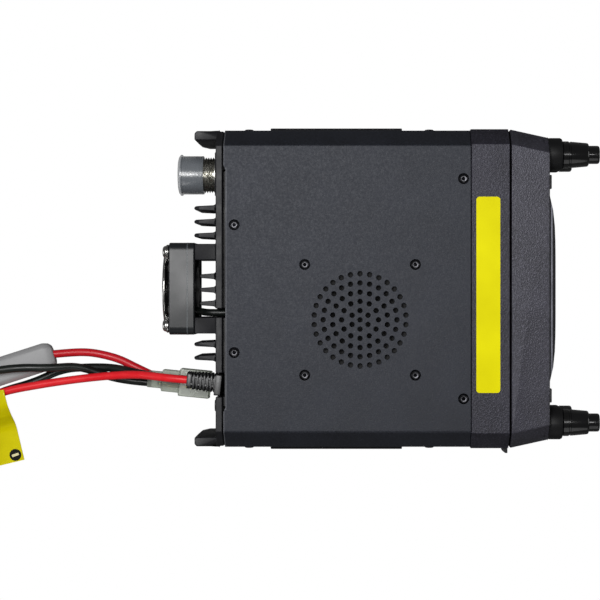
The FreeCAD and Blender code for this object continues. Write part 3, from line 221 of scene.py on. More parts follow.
table_finish = Finish("white_table", (0.86, 0.86, 0.86), rough=0.9, specular=0.1)
camera_ray = table_finish.node("ShaderNodeLightPath", {}, [], "Is Camera Ray")
table_finish.paint(camera_ray, (0.1, 0.1, 0.1), (0.88, 0.88, 0.88))
seen_white(table_finish, table_finish.surface)
bpy.ops.mesh.primitive_plane_add(size=6, location=(0, 0, 0))
table = bpy.context.object
table.name = "table"
table.data.materials.append(table_finish.material)
room = bpy.data.worlds.new("room")
bpy.context.scene.world = room
room.use_nodes = True
walls = room.node_tree.nodes["Background"]
walls.inputs[0].default_value = (1, 1, 1, 1)
walls.inputs[1].default_value = ROOM_LIGHT
seen_white(Nodes(room.node_tree), walls)
LAMPS = (  # name, place and width in metres, watts
    ("key", (0.15, 0.16, 1.05), 0.5, 9.6),
    ("fill", (-1.0, -0.2, 0.5), 0.8, 1.5),
    ("front", (0.15, -1.2, 0.3), 0.8, 4.0),
    ("rear", (-0.25, 1.3, 0.3), 0.8, 3.0),
    ("spot", (0.07, -0.26, 1.04), 0.16, 0.7),
)
for name, place, width, watts in LAMPS:
    lamp = new_object(name + "_lamp", bpy.data.lights.new(name + "_lamp", "AREA"))
    lamp.data.shape = "DISK"
    lamp.data.size = width
    lamp.data.energy = watts
    lamp.location = place
    lamp.rotation_euler = (-lamp.location).to_track_quat("-Z", "Y").to_euler()


# The power lead: one red and one black insulated wire leave the boot behind the radio, fold back
# and end at a plug that lies under the boot. The last piece of the red one starts at a fuse holder.
# That piece is the same red, painted darker as painted shade.
LEAD_WIDTH = 3.6
FAN_LEAD_WIDTH = 3.2
RED_ROUTE = [
    (-40.5, 77.7, 22), (-39.6, 88.5, 22), (-38.2, 101, 15), (-38.9, 114, 10.6), (-40.6, 130, 8.3),
    (-43.2, 147.5, 7), (-46.6, 165.5, 6.2), (-53.5, 181, 5.8), (-67, 196.5, 5.6), (-82, 211, 5),
    (-87.5, 228, 4.6), (-80, 245, 4.5), (-63, 249.5, 4.5), (-50.5, 236, 4.5), (-48.8, 216, 4.5),
    (-46.3, 195.5, 4.5), (-40.8, 177.2, 4.5)]
BLACK_ROUTE = [
    (-40.5, 77.7, 18), (-40.1, 87.8, 17.8), (-38.2, 101.5, 10.1), (-35.6, 113.5, 4.6),
    (-35.5, 126, 1.9), (-36.4, 138.2, 1.9), (-42.5, 150.5, 1.9), (-46.6, 166, 1.9),
    (-54, 179.5, 1.9), (-69, 193.5, 1.9), (-86, 207, 1.9), (-93.5, 225, 1.9),
    (-90.5, 244.5, 1.9), (-75.5, 255.5, 1.9), (-57, 252.5, 1.9), (-45, 238, 1.9),
    (-42.6, 219.5, 2.6), (-39, 201, 6.8), (-37.4, 185, 11.6), (-37.4, 171, 13.2),
    (-35.2, 155.5, 13.2), (-35.6, 142, 11.7), (-34.7, 129.5, 8), (-39.2, 118.2, 5.1),
    (-41.7, 107, 4.3), (-42.4, 97, 4.3)]
FUSED_ROUTE = [
    (-29.8, 144, 4.5), (-28.8, 133.9, 4.7), (-28.6, 125.7, 4.9), (-29.8, 118.5, 5),
    (-31.9, 111.2, 4.7), (-35.3, 104.6, 4.4), (-38.9, 97, 4.3)]
FAN_ROUTE = [(-10.5, 58, 32.6), (-10.5, 67.6, 34.2), (-10.2, 72.2, 30.4), (-9.2, 75.6, 22.5)]


def insulated(name, colour, dust):
    """Soft extruded plastic: an even sheen with faint drag marks and a little dust."""
    finish = Finish(name, colour, rough=0.34, specular=0.3)
    finish.paint(finish.noise(9, 3).spread(0.35, 0.75), colour, dust)
    finish.set("Roughness", finish.noise(3, 2).spread(0.3, 0.7, 0.28, 0.44))
    finish.relief(finish.noise(1.6, 2), 0.02)
    return finish


def wire(name, route, finish, stands_for, width=LEAD_WIDTH):
    """A smooth line through the neighbourhood of the route's points, given a round section."""
    curve = bpy.data.curves.new(name, "CURVE")
    curve.dimensions = "3D"
    line = curve.splines.new("NURBS")
    line.points.add(len(route) - 1)
    for point, (x, y, z) in zip(line.points, route):
        point.co = (x / 1000, y / 1000, z / 1000, 1)
    line.order_u = 3
    line.use_endpoint_u = True
    line.resolution_u = 12
    curve.bevel_depth = width / 2 / 1000
    curve.bevel_resolution = 6
    curve.use_fill_caps = True
    curve.materials.append(finish.material)
    lead = new_object(name, curve)
    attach(lead, "radio")
    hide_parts(stands_for)
    return lead


red = insulated("red_insulation", shade(216, 26, 36), shade(226, 44, 50))
# The same red insulation, painted darker as painted shade, for the piece after the fuse holder.
shaded_red = insulated("shaded_red_insulation", shade(186, 18, 30), shade(196, 32, 42))
black = insulated("black_insulation", shade(14, 17, 16), shade(26, 31, 28))
red_wire = wire("red_wire", RED_ROUTE, red, "red_lead")
black_wire = wire("black_wire", BLACK_ROUTE, black, "black_lead")
fused_wire = wire("fused_wire", FUSED_ROUTE, shaded_red, "fused_lead")
wire("fan_wire", FAN_ROUTE, black, "fan_lead", FAN_LEAD_WIDTH)


# The fuse holder is two moulded shells snapped round a glass fuse, in a matt grey plastic.
# Like most mouldings here it takes its shape from the frame, with the edges rounded.
OWNER = {node: body for body, nodes in frame["record"]["behaviour"]["bodies"].items()
         for node in nodes}
WELD = 2e-6  # points nearer than this, in metres, are one


def owned(piece, finish, slot, *nodes):
    """Give a piece its material, and let it ride and stand for the nodes that it shows."""
    piece.data.materials.clear()
    piece.data.materials.append(finish.material)
    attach(piece, OWNER[nodes[0]])
    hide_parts(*nodes)
    return piece


def smoothed(mesh, sharp):
    """Shade a mesh smooth but for edges that turn by more than sharp, in degrees."""
    mesh.shade_smooth()
    mesh.set_sharp_from_angle(angle=math.radians(sharp))


def bevelled(piece, name, width, segments, sharp):
    """Round the edges that turn by more than sharp, in degrees, over a width in millimetres."""
    rims = piece.modifiers.new(name, "BEVEL")
    rims.width = width / 1000
    rims.segments = segments
    rims.limit_method = "ANGLE"
    rims.angle_limit = math.radians(sharp)
    rims.use_clamp_overlap = False
    rims.loop_slide = False
    rims.harden_normals = True


def softened(node, finish, slot, width=0.3, segments=2, sharp=30):
    """A node's shape with its edges rounded by a bevel, width in millimetres."""
    mesh = frame["nodes"][node].data.copy()
    body = bmesh.new()
    body.from_mesh(mesh)
    bmesh.ops.remove_doubles(body, verts=body.verts[:], dist=WELD)
    body.to_mesh(mesh)
    body.free()
    smoothed(mesh, sharp)
    piece = new_object(node + "_shape", mesh)
    bevelled(piece, "edges", width, segments, sharp)
    return owned(piece, finish, slot, node)


def moulded(name, colour, rough=0.45, grain=0.35, lift=6, specular=0.5, depth=0.012):
    """Moulded plastic: fine eroded grain, slight clouding and worn, smoother places.

    The width and depth of the grain are in millimetres, and lift says how pale it gets.
    """
    finish = Finish(name, colour, rough, specular=specular)
    fine = finish.noise(grain, 3)
    cloud = finish.noise(14, 2)
    pale = tuple(min(1, c * (1 + lift / 30) + lift / 2500) for c in colour)
    finish.paint(fine.spread(0.35, 0.75) * 0.6 + cloud.spread(0.35, 0.7) * 0.4, colour, pale)
    finish.set("Roughness", cloud.spread(0.3, 0.7, rough - 0.05, rough + 0.06))
    finish.relief(fine, depth)
    return finish


holder_plastic = moulded("holder_plastic", shade(140, 140, 141), rough=0.55)
softened("fuse_holder", holder_plastic, "holder_grey", 0.7, 3)


# The plug is a moulded housing of milky clear nylon, through which the pair of brass terminals
# shows. They are fixed to the ends of the wires and pushed into it from behind.
clear_nylon = moulded("clear_nylon", shade(160, 166, 154), rough=0.3, grain=0.8)
clear_nylon.set("Transmission Weight", 0.55)
clear_nylon.set("IOR", 1.42)
softened("power_plug", clear_nylon, "plug_clear", 0.5, 3)
brass = Finish("brass", shade(222, 186, 92), rough=0.3, metal=1.0)
brass.paint(brass.noise(3, 3).spread(0.3, 0.7), shade(226, 190, 96), shade(188, 146, 62))
brass.relief(brass.noise(0.7, stretch=(1, 0.2, 1)), 0.006)
softened("plug_terminals", brass, "brass", 0.15)


# The tag on the red lead is a bent strip of yellow card under film, fixed to the lead at one end.
# It bears a plain black disc with a stroke across it.
def grid(points, around=False):
    """Points and faces of a net of points [row, column, xyz].

    With around, the last column is joined to the first.
    """
    points = np.asarray(points, float)
    rows, columns = points.shape[:2]
    number = np.arange(rows * columns).reshape(rows, columns)
    if around:
        number = np.hstack([number, number[:, :1]])
    corners = [number[:-1, :-1], number[:-1, 1:], number[1:, 1:], number[1:, :-1]]
    faces = np.stack(corners, -1).reshape(-1, 4)
    return points.reshape(-1, 3), [tuple(face) for face in faces.tolist()]


def lofted(loops):
    """A closed skin over loops that have the same number of points, with both ends filled."""
    points, faces = grid(loops, True)
    count = len(loops[0])
    last = len(points) - count
    return points, faces + [tuple(range(count))[::-1], tuple(range(last, last + count))]


def made(name, parts, finish, slot, *nodes, sharp=35):
    """One piece from parts, each of them points in millimetres with faces over them."""
    points = []
    faces = []
    for some, over in parts:
        faces += [tuple(n + len(points) for n in face) for face in over]
        points += np.asarray(some, float).tolist()
    mesh = bpy.data.meshes.new(name)
    mesh.from_pydata((np.array(points) / 1000).tolist(), [], faces)
    skin = bmesh.new()
    skin.from_mesh(mesh)
    bmesh.ops.remove_doubles(skin, verts=skin.verts[:], dist=WELD)
    bmesh.ops.dissolve_degenerate(skin, edges=skin.edges[:], dist=WELD / 2)
    bmesh.ops.recalc_face_normals(skin, faces=skin.faces[:])
    skin.to_mesh(mesh)
    skin.free()
    smoothed(mesh, sharp)
    return owned(new_object(name, mesh), finish, slot, *nodes)


def rounded(corners, radius, steps=5, closed=True):
    """A line or loop through corners, each turned by an arc that touches both its sides.

    The arc's ends lie radius * tan(turn / 2) from the corner, and less where a side is too short.
    """
    corners = np.asarray(corners, float)
    points = []
    for n, here in enumerate(corners):
        if not closed and n in (0, len(corners) - 1):
            points.append(here)
            continue
        come = corners[n - 1] - here
        go = corners[(n + 1) % len(corners)] - here
        room_left = min(np.linalg.norm(come), np.linalg.norm(go)) * 0.49
        come = come / np.linalg.norm(come)
        go = go / np.linalg.norm(go)
        half = math.acos(np.clip(come @ go, -1, 1)) / 2
        cut = min(room_left, radius / math.tan(half))
        centre = here + (come + go) / np.linalg.norm(come + go) * cut / math.cos(half)
        first = here + come * cut - centre
        last = here + go * cut - centre
        cosine = first @ last / (np.linalg.norm(first) * np.linalg.norm(last))
        span = math.acos(np.clip(cosine, -1, 1))
        for share in np.linspace(0, 1, steps):
            mixed = first * math.sin((1 - share) * span) + last * math.sin(share * span)
            points.append(centre + mixed / math.sin(span))
    return np.array(points)


def at_depth(figure, y):
    """The points (x, z) of a flat figure that stands across Y, at a depth y."""
    return np.insert(np.asarray(figure, float), 1, y, axis=1)


def turned_about(points, middle, degrees):
    """Points turned about the upright line through the origin, which is then moved to (x, y)."""
    c, s = math.cos(math.radians(degrees)), math.sin(math.radians(degrees))
    points = np.asarray(points, float)
    x, y, z = points[..., 0], points[..., 1], points[..., 2]
    return np.stack([middle[0] + c * x - s * y, middle[1] + s * x + c * y, z], -1)


TAG_PLACE = (-46.5, 162.7)
TAG_TURN = 13.5
TAG_WIDTH = 26
TAG_HALF_THICK, TAG_HALF_RIM = 0.24, 0.16
DISC_X, DISC_Y = -75.4, 159.3
DISC_RADIUS_SQUARED = 7.3
STROKE_X, STROKE_Y = 0.94, 0.34  # the way across the stroke
STROKE_HALF_WIDTH, STROKE_HALF_LENGTH = 0.55, 1.6
tag_card = Finish("tag_card", shade(212, 200, 4), rough=0.42, specular=0.03)
film = tag_card.noise(11, 2)
tag_card.paint(film.spread(0.3, 0.7), shade(190, 178, 1), shade(202, 192, 6))
across = tag_card.along(0) - DISC_X
along = tag_card.along(1) - DISC_Y
outside_disc = (across * across + along * along).above(DISC_RADIUS_SQUARED)
tag_card.paint_over(1 - outside_disc, shade(24, 24, 22))
in_width = (across * STROKE_X + along * STROKE_Y).near(0, STROKE_HALF_WIDTH)
in_length = (along * STROKE_X - across * STROKE_Y).near(0, STROKE_HALF_LENGTH)
tag_card.paint_over(in_width * in_length, shade(214, 206, 160))
tag_card.set("Coat Weight", film.spread(0.3, 0.7, 0.02, 0.1))
tag_card.relief(tag_card.noise(7, 2), 0.05)
bend = rounded([(1.2, 9.15), (-1, 9.55), (-6.5, 9.2), (-10.85, 5.8), (-14.5, 1.5), (-17.1, 0.36),
                (-32.0, 0.36)], 5, 6, False)
rise = np.array([-np.gradient(bend[:, 1]), np.gradient(bend[:, 0])]).T
rise /= np.linalg.norm(rise, axis=1)[:, None]
loops = []
for y in [0, 0.12, *np.linspace(0.6, 25.4, 9), 25.88, TAG_WIDTH]:
    thick = TAG_HALF_RIM if y in (0, TAG_WIDTH) else TAG_HALF_THICK
    loops.append(at_depth(np.concatenate([bend - rise * thick, (bend + rise * thick)[::-1]]), y))
made("tag_strip", [lofted(turned_about(loops, TAG_PLACE, TAG_TURN))], tag_card, "tag_yellow",
     "cable_tag")


# The strain relief is one rubber moulding: a tall neck that slides into the slot of the rear plate,
# a core round both wires, ribs with staggered webs between them, and a collar at the end.
def block_loop(x, y, z, half_x, half_z, radius):
    """A rounded rectangle that faces along Y, round the place (x, y, z)."""
    corners = [(-half_x, -half_z), (half_x, -half_z), (half_x, half_z), (-half_x, half_z)]
    return at_depth(rounded(corners, radius, 6) + (x, z), y)


def cushion(x, front, rear, z, half_x, half_z, radius, soft=0.25):
    """A closed rounded block between two depths, its end rims rounded by soft."""
    insets = ((front, soft), (front + 0.3 * soft, 0.3 * soft), (front + soft, 0),
              (rear - soft, 0), (rear - 0.3 * soft, 0.3 * soft), (rear, soft))
    return lofted([block_loop(x, y, z, half_x - inset, half_z - inset, max(radius - inset, 0.05))
                   for y, inset in insets])


BOOT_PLACE = (-41.8, 65.5)
BOOT_HEIGHT = 20
BOOT_LEAN = -6
RIBS = 7
RIB_PITCH = 1.55
rubber = moulded("boot_rubber", shade(20, 20, 22), rough=0.42, grain=0.5, lift=8, specular=0.7)
neck = cushion(0, -2.3, 0.5, 6.45, half_x=4.6, half_z=12.55, radius=0.7)
core = cushion(0, 0.3, 13.2, 0, half_x=2.9, half_z=4.1, radius=1.6)
ring = cushion(0, 11.8, 14.0, 0, half_x=3.7, half_z=5.2, radius=1.5, soft=0.35)
boot = [neck, core, ring]
for place in range(RIBS):
    start = 1.1 + RIB_PITCH * place
    boot.append(cushion(0, start, start + 0.85, 0, half_x=4.25 - 0.06 * place, half_z=5.7,
                        radius=2.0, soft=0.2))
    web_x = 1.5 if place % 2 else -1.5
    for side in (1, -1):
        boot.append(cushion(web_x, start + 0.5, start + 1.9, 4.5 * side, half_x=0.5, half_z=1.0,
                            radius=0.2, soft=0.1))
boot = [(turned_about(points, BOOT_PLACE, BOOT_LEAN) + (0, 0, BOOT_HEIGHT), faces)
        for points, faces in boot]
made("strain_relief", boot, rubber, "boot_rubber", "power_boot")


# The chassis is a die casting painted black: rails, front wall, rear plate, fins, feet, fan posts
# and side pads. The paint greys in patches, but the side pads are evenly matt.
PAD_X = 69.5
SEAT_Y, SEAT_HALF, SEAT_Z = 61.6, 0.9, 36


def casting(name, colour, worn):
    """Painted die casting: orange-peel paint over a sandy skin, thinner and greyer in patches.

    The seat of the upper cover, just inside the rear plate, is painted near black as painted
    shade for the deep gap there, and is made matt.
    """
    finish = Finish(name, colour, rough=0.4, specular=0.18)
    sand = finish.noise(0.5, 4)
    patch = finish.noise(6, 3)
    side_pad = finish.along(0).away(0, PAD_X)
    seat_shade = finish.along(1).near(SEAT_Y, SEAT_HALF) * finish.along(2).above(SEAT_Z)
    finish.paint(patch.spread(0.4, 0.75) * sand.spread(0.3, 0.7) * (1 - side_pad), colour, worn)
    # Painted shade: the seat in the gap by the rear plate is painted near black.
    finish.paint_over(seat_shade, shade(1, 1, 1))
    finish.set("Roughness", patch.spread(0.3, 0.7, 0.36, 0.5) + (side_pad + seat_shade) * 0.45)
    finish.relief(sand + patch * 0.5, 0.03)
    return finish


cast_paint = casting("cast_paint", shade(22, 22, 25), shade(36, 36, 40))
softened("chassis", cast_paint, "casting", 0.4, 3)


# The fan is a standard square one. Its frame is a matt moulding with three struts that hold the
# motor, and seven twisted blades stand round the hub.
def hoop(x, y, z, radius, count=48):
    """Points (x + r cos t, y, z + r sin t) of a circle, where r is one number or one for each."""
    turns = np.arange(count) * math.tau / count
    deep = np.full(count, float(y))
    return np.stack([x + radius * np.cos(turns), deep, z + radius * np.sin(turns)], -1)


def wheel(profile, x, z, count=48, bump=lambda turns, depth: 0.0):
    """A profile of (radius, depth along Y) turned round the line through (x, z).

    The point at angle t is (x + r cos t, y, z + r sin t), where r is radius + bump(t, y).
    """
    turns = np.arange(count) * math.tau / count
    return grid([hoop(x, depth, z, radius + (bump(turns, depth) if radius > 0 else 0.0), count)
                 for radius, depth in profile], True)


def punched(outline, holes, level):
    """A flat sheet at a height, inside an outline, with holes of (x, y, radius, sides)."""
    flat = bmesh.new()
    rims = [outline]
    for x, y, radius, sides in holes:
        turns = np.arange(sides) * math.tau / sides
        rims.append(np.stack([x + radius * np.cos(turns), y + radius * np.sin(turns)], -1).tolist())
    for rim in rims:
        corners = [flat.verts.new((x, y, level)) for x, y in rim]
        for n, corner in enumerate(corners):
            flat.edges.new((corners[n - 1], corner))
    bmesh.ops.triangle_fill(flat, use_beauty=True, edges=flat.edges[:])
    flat.verts.index_update()
    points = [tuple(v.co) for v in flat.verts]
    faces = [tuple(v.index for v in f.verts) for f in flat.faces]
    flat.free()
    return points, faces


FAN = (0, 20.5)
FAN_HALF, FAN_CORNER = 20, 3.5
FAN_NEAR, FAN_FAR = 74.7, 85.8
DUCT_RADIUS = 18.7
FAN_SCREW, FAN_SCREW_HOLE = 16, 1.8
MOULD_LINE = 77.75
FAN_RIM = 0.975  # how much smaller the rounded rim is than the flank
STRUT_NEAR, STRUT_FAR = 74.72, 76.1
BLADES, BLADE_MIDDLE = 7, 80.9
HUB, BLADE_TIP = 9.7, 18
fan_corners = [(FAN_SCREW * a, FAN_SCREW * b) for a in (1, -1) for b in (1, -1)]
fan_grey = shade(25, 27, 29)
fan_plastic = moulded("fan_plastic", fan_grey, 0.34, grain=0.6, specular=0.3, depth=0.006)
# Painted highlight: the ridge along the mould line is painted light.
off_highlight_line = fan_plastic.along(1).away(MOULD_LINE, 0.22)
fan_plastic.paint(off_highlight_line, shade(74, 78, 81), fan_grey)
square = rounded([(-FAN_HALF, -FAN_HALF), (FAN_HALF, -FAN_HALF), (FAN_HALF, FAN_HALF),
                  (-FAN_HALF, FAN_HALF)], FAN_CORNER, 8)
flank = grid([at_depth(square * share + FAN, y) for y, share in (
    (FAN_NEAR, FAN_RIM), (74.85, 0.992), (75.15, 1), (77.5, 1), (77.6, 1.003), (77.9, 1.003),
    (78.0, 1), (85.35, 1), (85.65, 0.992), (FAN_FAR, FAN_RIM))], True)
openings = [(0, 0, DUCT_RADIUS, 64)] + [(a, b, FAN_SCREW_HOLE, 20) for a, b in fan_corners]
end_points, end_faces = punched(square * FAN_RIM, openings, 0)
end_points = np.array(end_points)[:, :2] + FAN
duct = [flank, wheel([(DUCT_RADIUS, FAN_NEAR), (DUCT_RADIUS, FAN_FAR)], *FAN, 64)]
duct += [(at_depth(end_points, y), end_faces) for y in (FAN_NEAR, FAN_FAR)]
bore = [(FAN_SCREW_HOLE, FAN_NEAR), (FAN_SCREW_HOLE, FAN_FAR)]
duct += [wheel(bore, FAN[0] + a, FAN[1] + b, 20) for a, b in fan_corners]
duct.append(wheel([(0, STRUT_NEAR), (HUB, STRUT_NEAR), (9.95, 74.9), (9.95, STRUT_FAR),
                   (0, STRUT_FAR)], *FAN))
strut = np.array([(9.5, -1.35), (18.9, -1.35), (18.9, 1.35), (9.5, 1.35)])
for way in (90, 210, 330):
    c, s = math.cos(math.radians(way)), math.sin(math.radians(way))
    turned = strut @ ((c, s), (-s, c)) + FAN
    duct.append(lofted([at_depth(turned, y) for y in (STRUT_NEAR, STRUT_FAR)]))
made("fan_housing", duct, fan_plastic, "fan_plastic", "fan_frame", sharp=20)


def blade(turn):
    """A twisted blade: loops of points (r cos t, y, r sin t) at nine radii r from hub to tip.

    At a share u of the half chord, from -1 to 1, the blade's middle is u * 3.9 sin(lean) deep and
    u * (5.2 + 0.25 (r - hub)) cos(lean) along the arc, and each skin lies 0.42 (1 - u^2) + 0.12
    from that. The lean goes from 52 degrees at the hub to 30 at the tip, and the whole section is
    turned by 0.05 (r - hub) radians.
    """
    share = np.linspace(-1, 1, 9)
    u = np.concatenate([share, share[::-1]])
    skin = np.repeat([1, -1], len(share)) * (0.42 * (1 - u ** 2) + 0.12)
    loops = []
    for radius in np.linspace(HUB, BLADE_TIP, 9):
        beyond = radius - HUB
        lean = math.radians(52 - 22 * beyond / (BLADE_TIP - HUB))
        arc = u * (5.2 + 0.25 * beyond) * math.cos(lean) - skin * math.sin(lean)
        angle = turn + arc / radius + 0.05 * beyond
        depth = BLADE_MIDDLE + u * 3.9 * math.sin(lean) + skin * math.cos(lean)
        loops.append(np.stack([FAN[0] + radius * np.cos(angle), depth,
                               FAN[1] + radius * np.sin(angle)], -1))
    return lofted(loops)


blades = [wheel([(0, 76.8), (9.3, 76.8), (10, 77.4), (10, 84.3), (9.6, 84.8), (9, 85), (0, 85)],
                *FAN)]
blades += [blade(math.tau * place / BLADES) for place in range(BLADES)]
blade_plastic = moulded("blade_plastic", shade(38, 39, 41), rough=0.35, grain=0.8)
made("fan_wheel", blades, blade_plastic, "fan_plastic", "fan_impeller")


# The finger guard is bent and welded steel wire, bright nickel plated: three hoops, crossed arms
# with an eye at each end, and a small plate in the middle. Four pan-head screws hold it, and with
# it the fan.
def rod(path, radius, closed=False, sides=12):
    """A round wire along a path. Its section stays square to the path and doesn't spin about it.

    Its points are p + radius * (a cos t + b sin t), with a and b square to the path at p.
    """
    path = np.asarray(path, float)
    ahead = np.roll(path, -1, 0) - np.roll(path, 1, 0)
    if not closed:
        ahead[0] = path[1] - path[0]
        ahead[-1] = path[-1] - path[-2]
    ahead /= np.linalg.norm(ahead, axis=1)[:, None]
    across = np.cross(ahead[0], (0.3, 0.8, 0.52))
    turns = np.arange(sides)[:, None] * math.tau / sides
    loops = []
    for here, way in zip(path, ahead):
        across = across - (across @ way) * way
        across /= np.linalg.norm(across)
        other = np.cross(way, across)
        loops.append(here + radius * (np.cos(turns) * across + np.sin(turns) * other))
    return grid(loops + loops[:1], True) if closed else lofted(loops)


def metal(name, colour, stain, rough=0.22):
    """Plated metal: fine drawn lines, faint stains and slight dulling in patches."""
    finish = Finish(name, colour, rough, metal=1.0)
    stains = finish.noise(2.5, 3)
    finish.paint(stains.spread(0.4, 0.75), colour, stain)
    finish.set("Roughness", stains.spread(0.3, 0.7, rough - 0.06, rough + 0.12))
    finish.relief(finish.noise(0.35, 2), 0.008)
    return finish


HOOPS_AT, EYES_AT, HEADS_AT = 88.1, 86.5, 87.1
plated = metal("plated_wire", shade(190, 190, 188), shade(110, 108, 104), 0.18)
guard = [rod(hoop(FAN[0], HOOPS_AT, FAN[1], radius), 0.8, True) for radius in (7, 12, 17)]
for way_x in (1, -1):
    for way_z in (1, -1):
        x, z = FAN_SCREW * way_x, FAN[1] + FAN_SCREW * way_z
        guard.append(rod(hoop(x, EYES_AT, z, 2.5, 24), 0.7, True))
        arm = [(2.5, 87.9), (12.2, 87.9), (13.0, 87.3), (13.6, 86.7), (14.4, EYES_AT)]
        guard.append(rod([(way_x * a, y, FAN[1] + way_z * a) for a, y in arm], 0.75))
plate = [(0, 87.4), (3.1, 87.4), (3.3, 87.6), (3.3, 88.3), (3.1, 88.5), (0, 88.5)]
guard.append(wheel(plate, *FAN, 24))
made("wire_guard", guard, plated, "guard_wire", "fan_guard")


def screw_head(profile, recess, count=36, flat=6):
    """A screw head that looks along +Z, as rings of (radius, height), with a recess in its top.

    The recess is (radius, height) with flat sides. At an angle t' from the middle of a side its
    wall is radius * cos(pi / flat) / cos(t') from the axis.
    """
    turns = np.arange(count) * math.tau / count
    from_middle = (turns + math.pi / flat) % (math.tau / flat) - math.pi / flat
    wall = recess[0] * (np.cos(math.pi / flat) / np.cos(from_middle))
    rings = [(0, recess[1]), (0.92 * wall, recess[1]), (wall, recess[1] + 0.15),
             (1.04 * wall, profile[0][1])] + profile
    return grid([hoop(0, height, 0, reach, count)[:, [0, 2, 1]] for reach, height in rings], True)


def placed(part, x, y, z, axis="Z", flip=1):
    """A part that looks along +Z, turned to look along an axis and moved to (x, y, z)."""
    points, faces = part
    a, b, c = points.T
    turned = {"Z": (a, b * flip, c * flip), "Y": (a * flip, c * flip, b),
              "X": (c * flip, a * flip, b)}[axis]
    return np.stack(turned, -1) + (x, y, z), faces


pan = screw_head([(1.6, 1.55), (2.1, 1.35), (2.5, 0.9), (2.7, 0.3), (2.7, 0), (1.5, 0), (1.5, -9),
                  (0, -9)], (1.0, 0.6), 32, 4)
made("fan_screw_heads", [placed(pan, a, HEADS_AT, FAN[1] + b, "Y") for a, b in fan_corners],
     plated, "screw_steel", "fan_screws")


# The aerial socket is turned brass, bright nickel plated, with a coarse outside thread, a white
# insulator and a split centre contact. A milky soft cap is pushed over the thread.
AERIAL = (50.3, 20.0)
THREAD_START, THREAD_END = 66.9, 81.9
PITCH = 1.06
THREAD_DEPTH = 0.95


def thread(turns, depth):
    """How far a helical V thread lies inside its crest, at these angles and a depth.

    Where p is the fraction of depth / PITCH - angle / tau, it lies THREAD_DEPTH times
    (1 - |2 p - 1|) ** 0.85 inside the crest, and less near both ends.
    """
    if not THREAD_START < depth < THREAD_END:
        return 0.0
    phase = (depth / PITCH - turns / math.tau) % 1.0
    fade = min(1, (depth - THREAD_START) * 2, (THREAD_END - depth) * 2)
    return -THREAD_DEPTH * (1 - abs(2 * phase - 1)) ** 0.85 * fade


nickel = metal("nickel", shade(214, 213, 208), shade(120, 118, 106), 0.26)
crest = [(7.94, y) for y in np.linspace(66.7, 81.6, 130)]
socket = [(5.6, 60), (6.5, 60), (6.5, 66.6), (7.9, 66.6), *crest, (7.5, 82), (5.6, 82), (5.6, 60)]
made("threaded_socket", [wheel(socket, *AERIAL, 72, thread)], nickel, "nickel", "aerial_socket")
cap_plastic = moulded("cap_plastic", shade(124, 129, 135), 0.25, grain=2.5, lift=2, depth=0.003)
cap_plastic.set("Alpha", cap_plastic.noise(8, 2).spread(0.3, 0.7, 0.5, 0.62))
cap_plastic.set("Coat Weight", 1.0)
cap_plastic.set("Coat IOR", 2.2)
cap_plastic.set("Coat Roughness", 0.2)
outside = [(8.16, 72.0), (8.4, 72.0), (8.5, 72.15), (8.5, 80.9), (8.62, 81.3), (9.0, 81.4),
           (9.1, 81.6), (9.1, 82.0), (9.0, 82.3), (8.5, 82.5), (8.2, 82.9), (7.2, 83.2),
           (4, 83.36), (0, 83.4)]
inside = [(0, 82.2), (7.9, 82.15), (8.14, 81.9), (8.16, 72.0)]
made("dust_cap", [wheel(outside + inside, *AERIAL, 64)], cap_plastic, "cap_clear", "aerial_cap")
ceramic = moulded("ceramic", shade(232, 230, 222), rough=0.3, grain=1.0, lift=2)
softened("aerial_insulator", ceramic, "insulator", 0.2)
softened("aerial_contact", brass, "brass", 0.2)


# Two loudspeaker jacks and a round data socket sit in the rear plate. They are moulded in black
# plastic, and their rings stand a little behind it.
socket_plastic = moulded("socket_plastic", shade(26, 26, 28), rough=0.4)
softened("speaker_jacks", socket_plastic, "socket_black", 0.2)
softened("data_socket", socket_plastic, "socket_black", 0.2)


# The covers are pressed steel sheet under a fine black wrinkle paint. The upper one has the speaker
# grille: five rings of round holes about one in the middle, and dished seats for its screws.
FRONT, REAR, TAB = -45.3, 61.2, 62.1
STEP = 52.6  # beyond this X the rear edge juts out as a tab
# Where the painted highlight along the rear edge begins.
HIGHLIGHT_FROM = 60.75
TOP = 40
SHOULDER, SIDE = 61.2, 69.4
SHEET = 1.0
GRILLE = (-13.5, 2.8)
HOLE, HOLE_PITCH, HOLE_RINGS = 1.1, 4, 5
DISH = 2.3
SPEAKER_SCREW = 24
COVER_SCREWS = [(27.7, 57.4), (-27.7, 57.4), (47.75, -42.1), (-47.75, -42.1)]
SPEAKER_SCREWS = [(GRILLE[0] + SPEAKER_SCREW * a, GRILLE[1] + SPEAKER_SCREW * b)
                  for a in (1, -1) for b in (1, -1)]


def wrinkle(name, colour, pale):
    """Wrinkle paint: tight leathery cells, sparse brighter grains, and dust that greys it.

    A pale band is painted along the rear edge, a painted highlight on its rim.
    """
    finish = Finish(name, colour, rough=0.46, specular=0.23)
    finish.set("Specular Tint", (0.88, 0.91, 1, 1))
    fold = finish.noise(0.9, 4, rough=0.65)
    grain = finish.noise(0.5, 1)
    cloud = finish.noise(22, 3)
    edge = (finish.along(1) - finish.along(0).away(0, STEP) * (TAB - REAR)).above(HIGHLIGHT_FROM)
    finish.paint(fold.spread(0.3, 0.7) * 0.65 + cloud.spread(0.3, 0.7) * 0.35, colour, pale)
    finish.paint_over(grain.spread(0.62, 0.76, 0, 0.6), tuple(c * 2.0 for c in pale))
    # Painted highlight: a pale band along the rear edge of the sheet.
    finish.paint_over(edge * cloud.spread(0.3, 0.7, 0.3, 1.0), shade(98, 99, 103))
    finish.set("Roughness", fold.spread(0.3, 0.7, 0.4, 0.56))
    finish.relief(fold + grain * 0.6, 0.05, 0.8)
    return finish


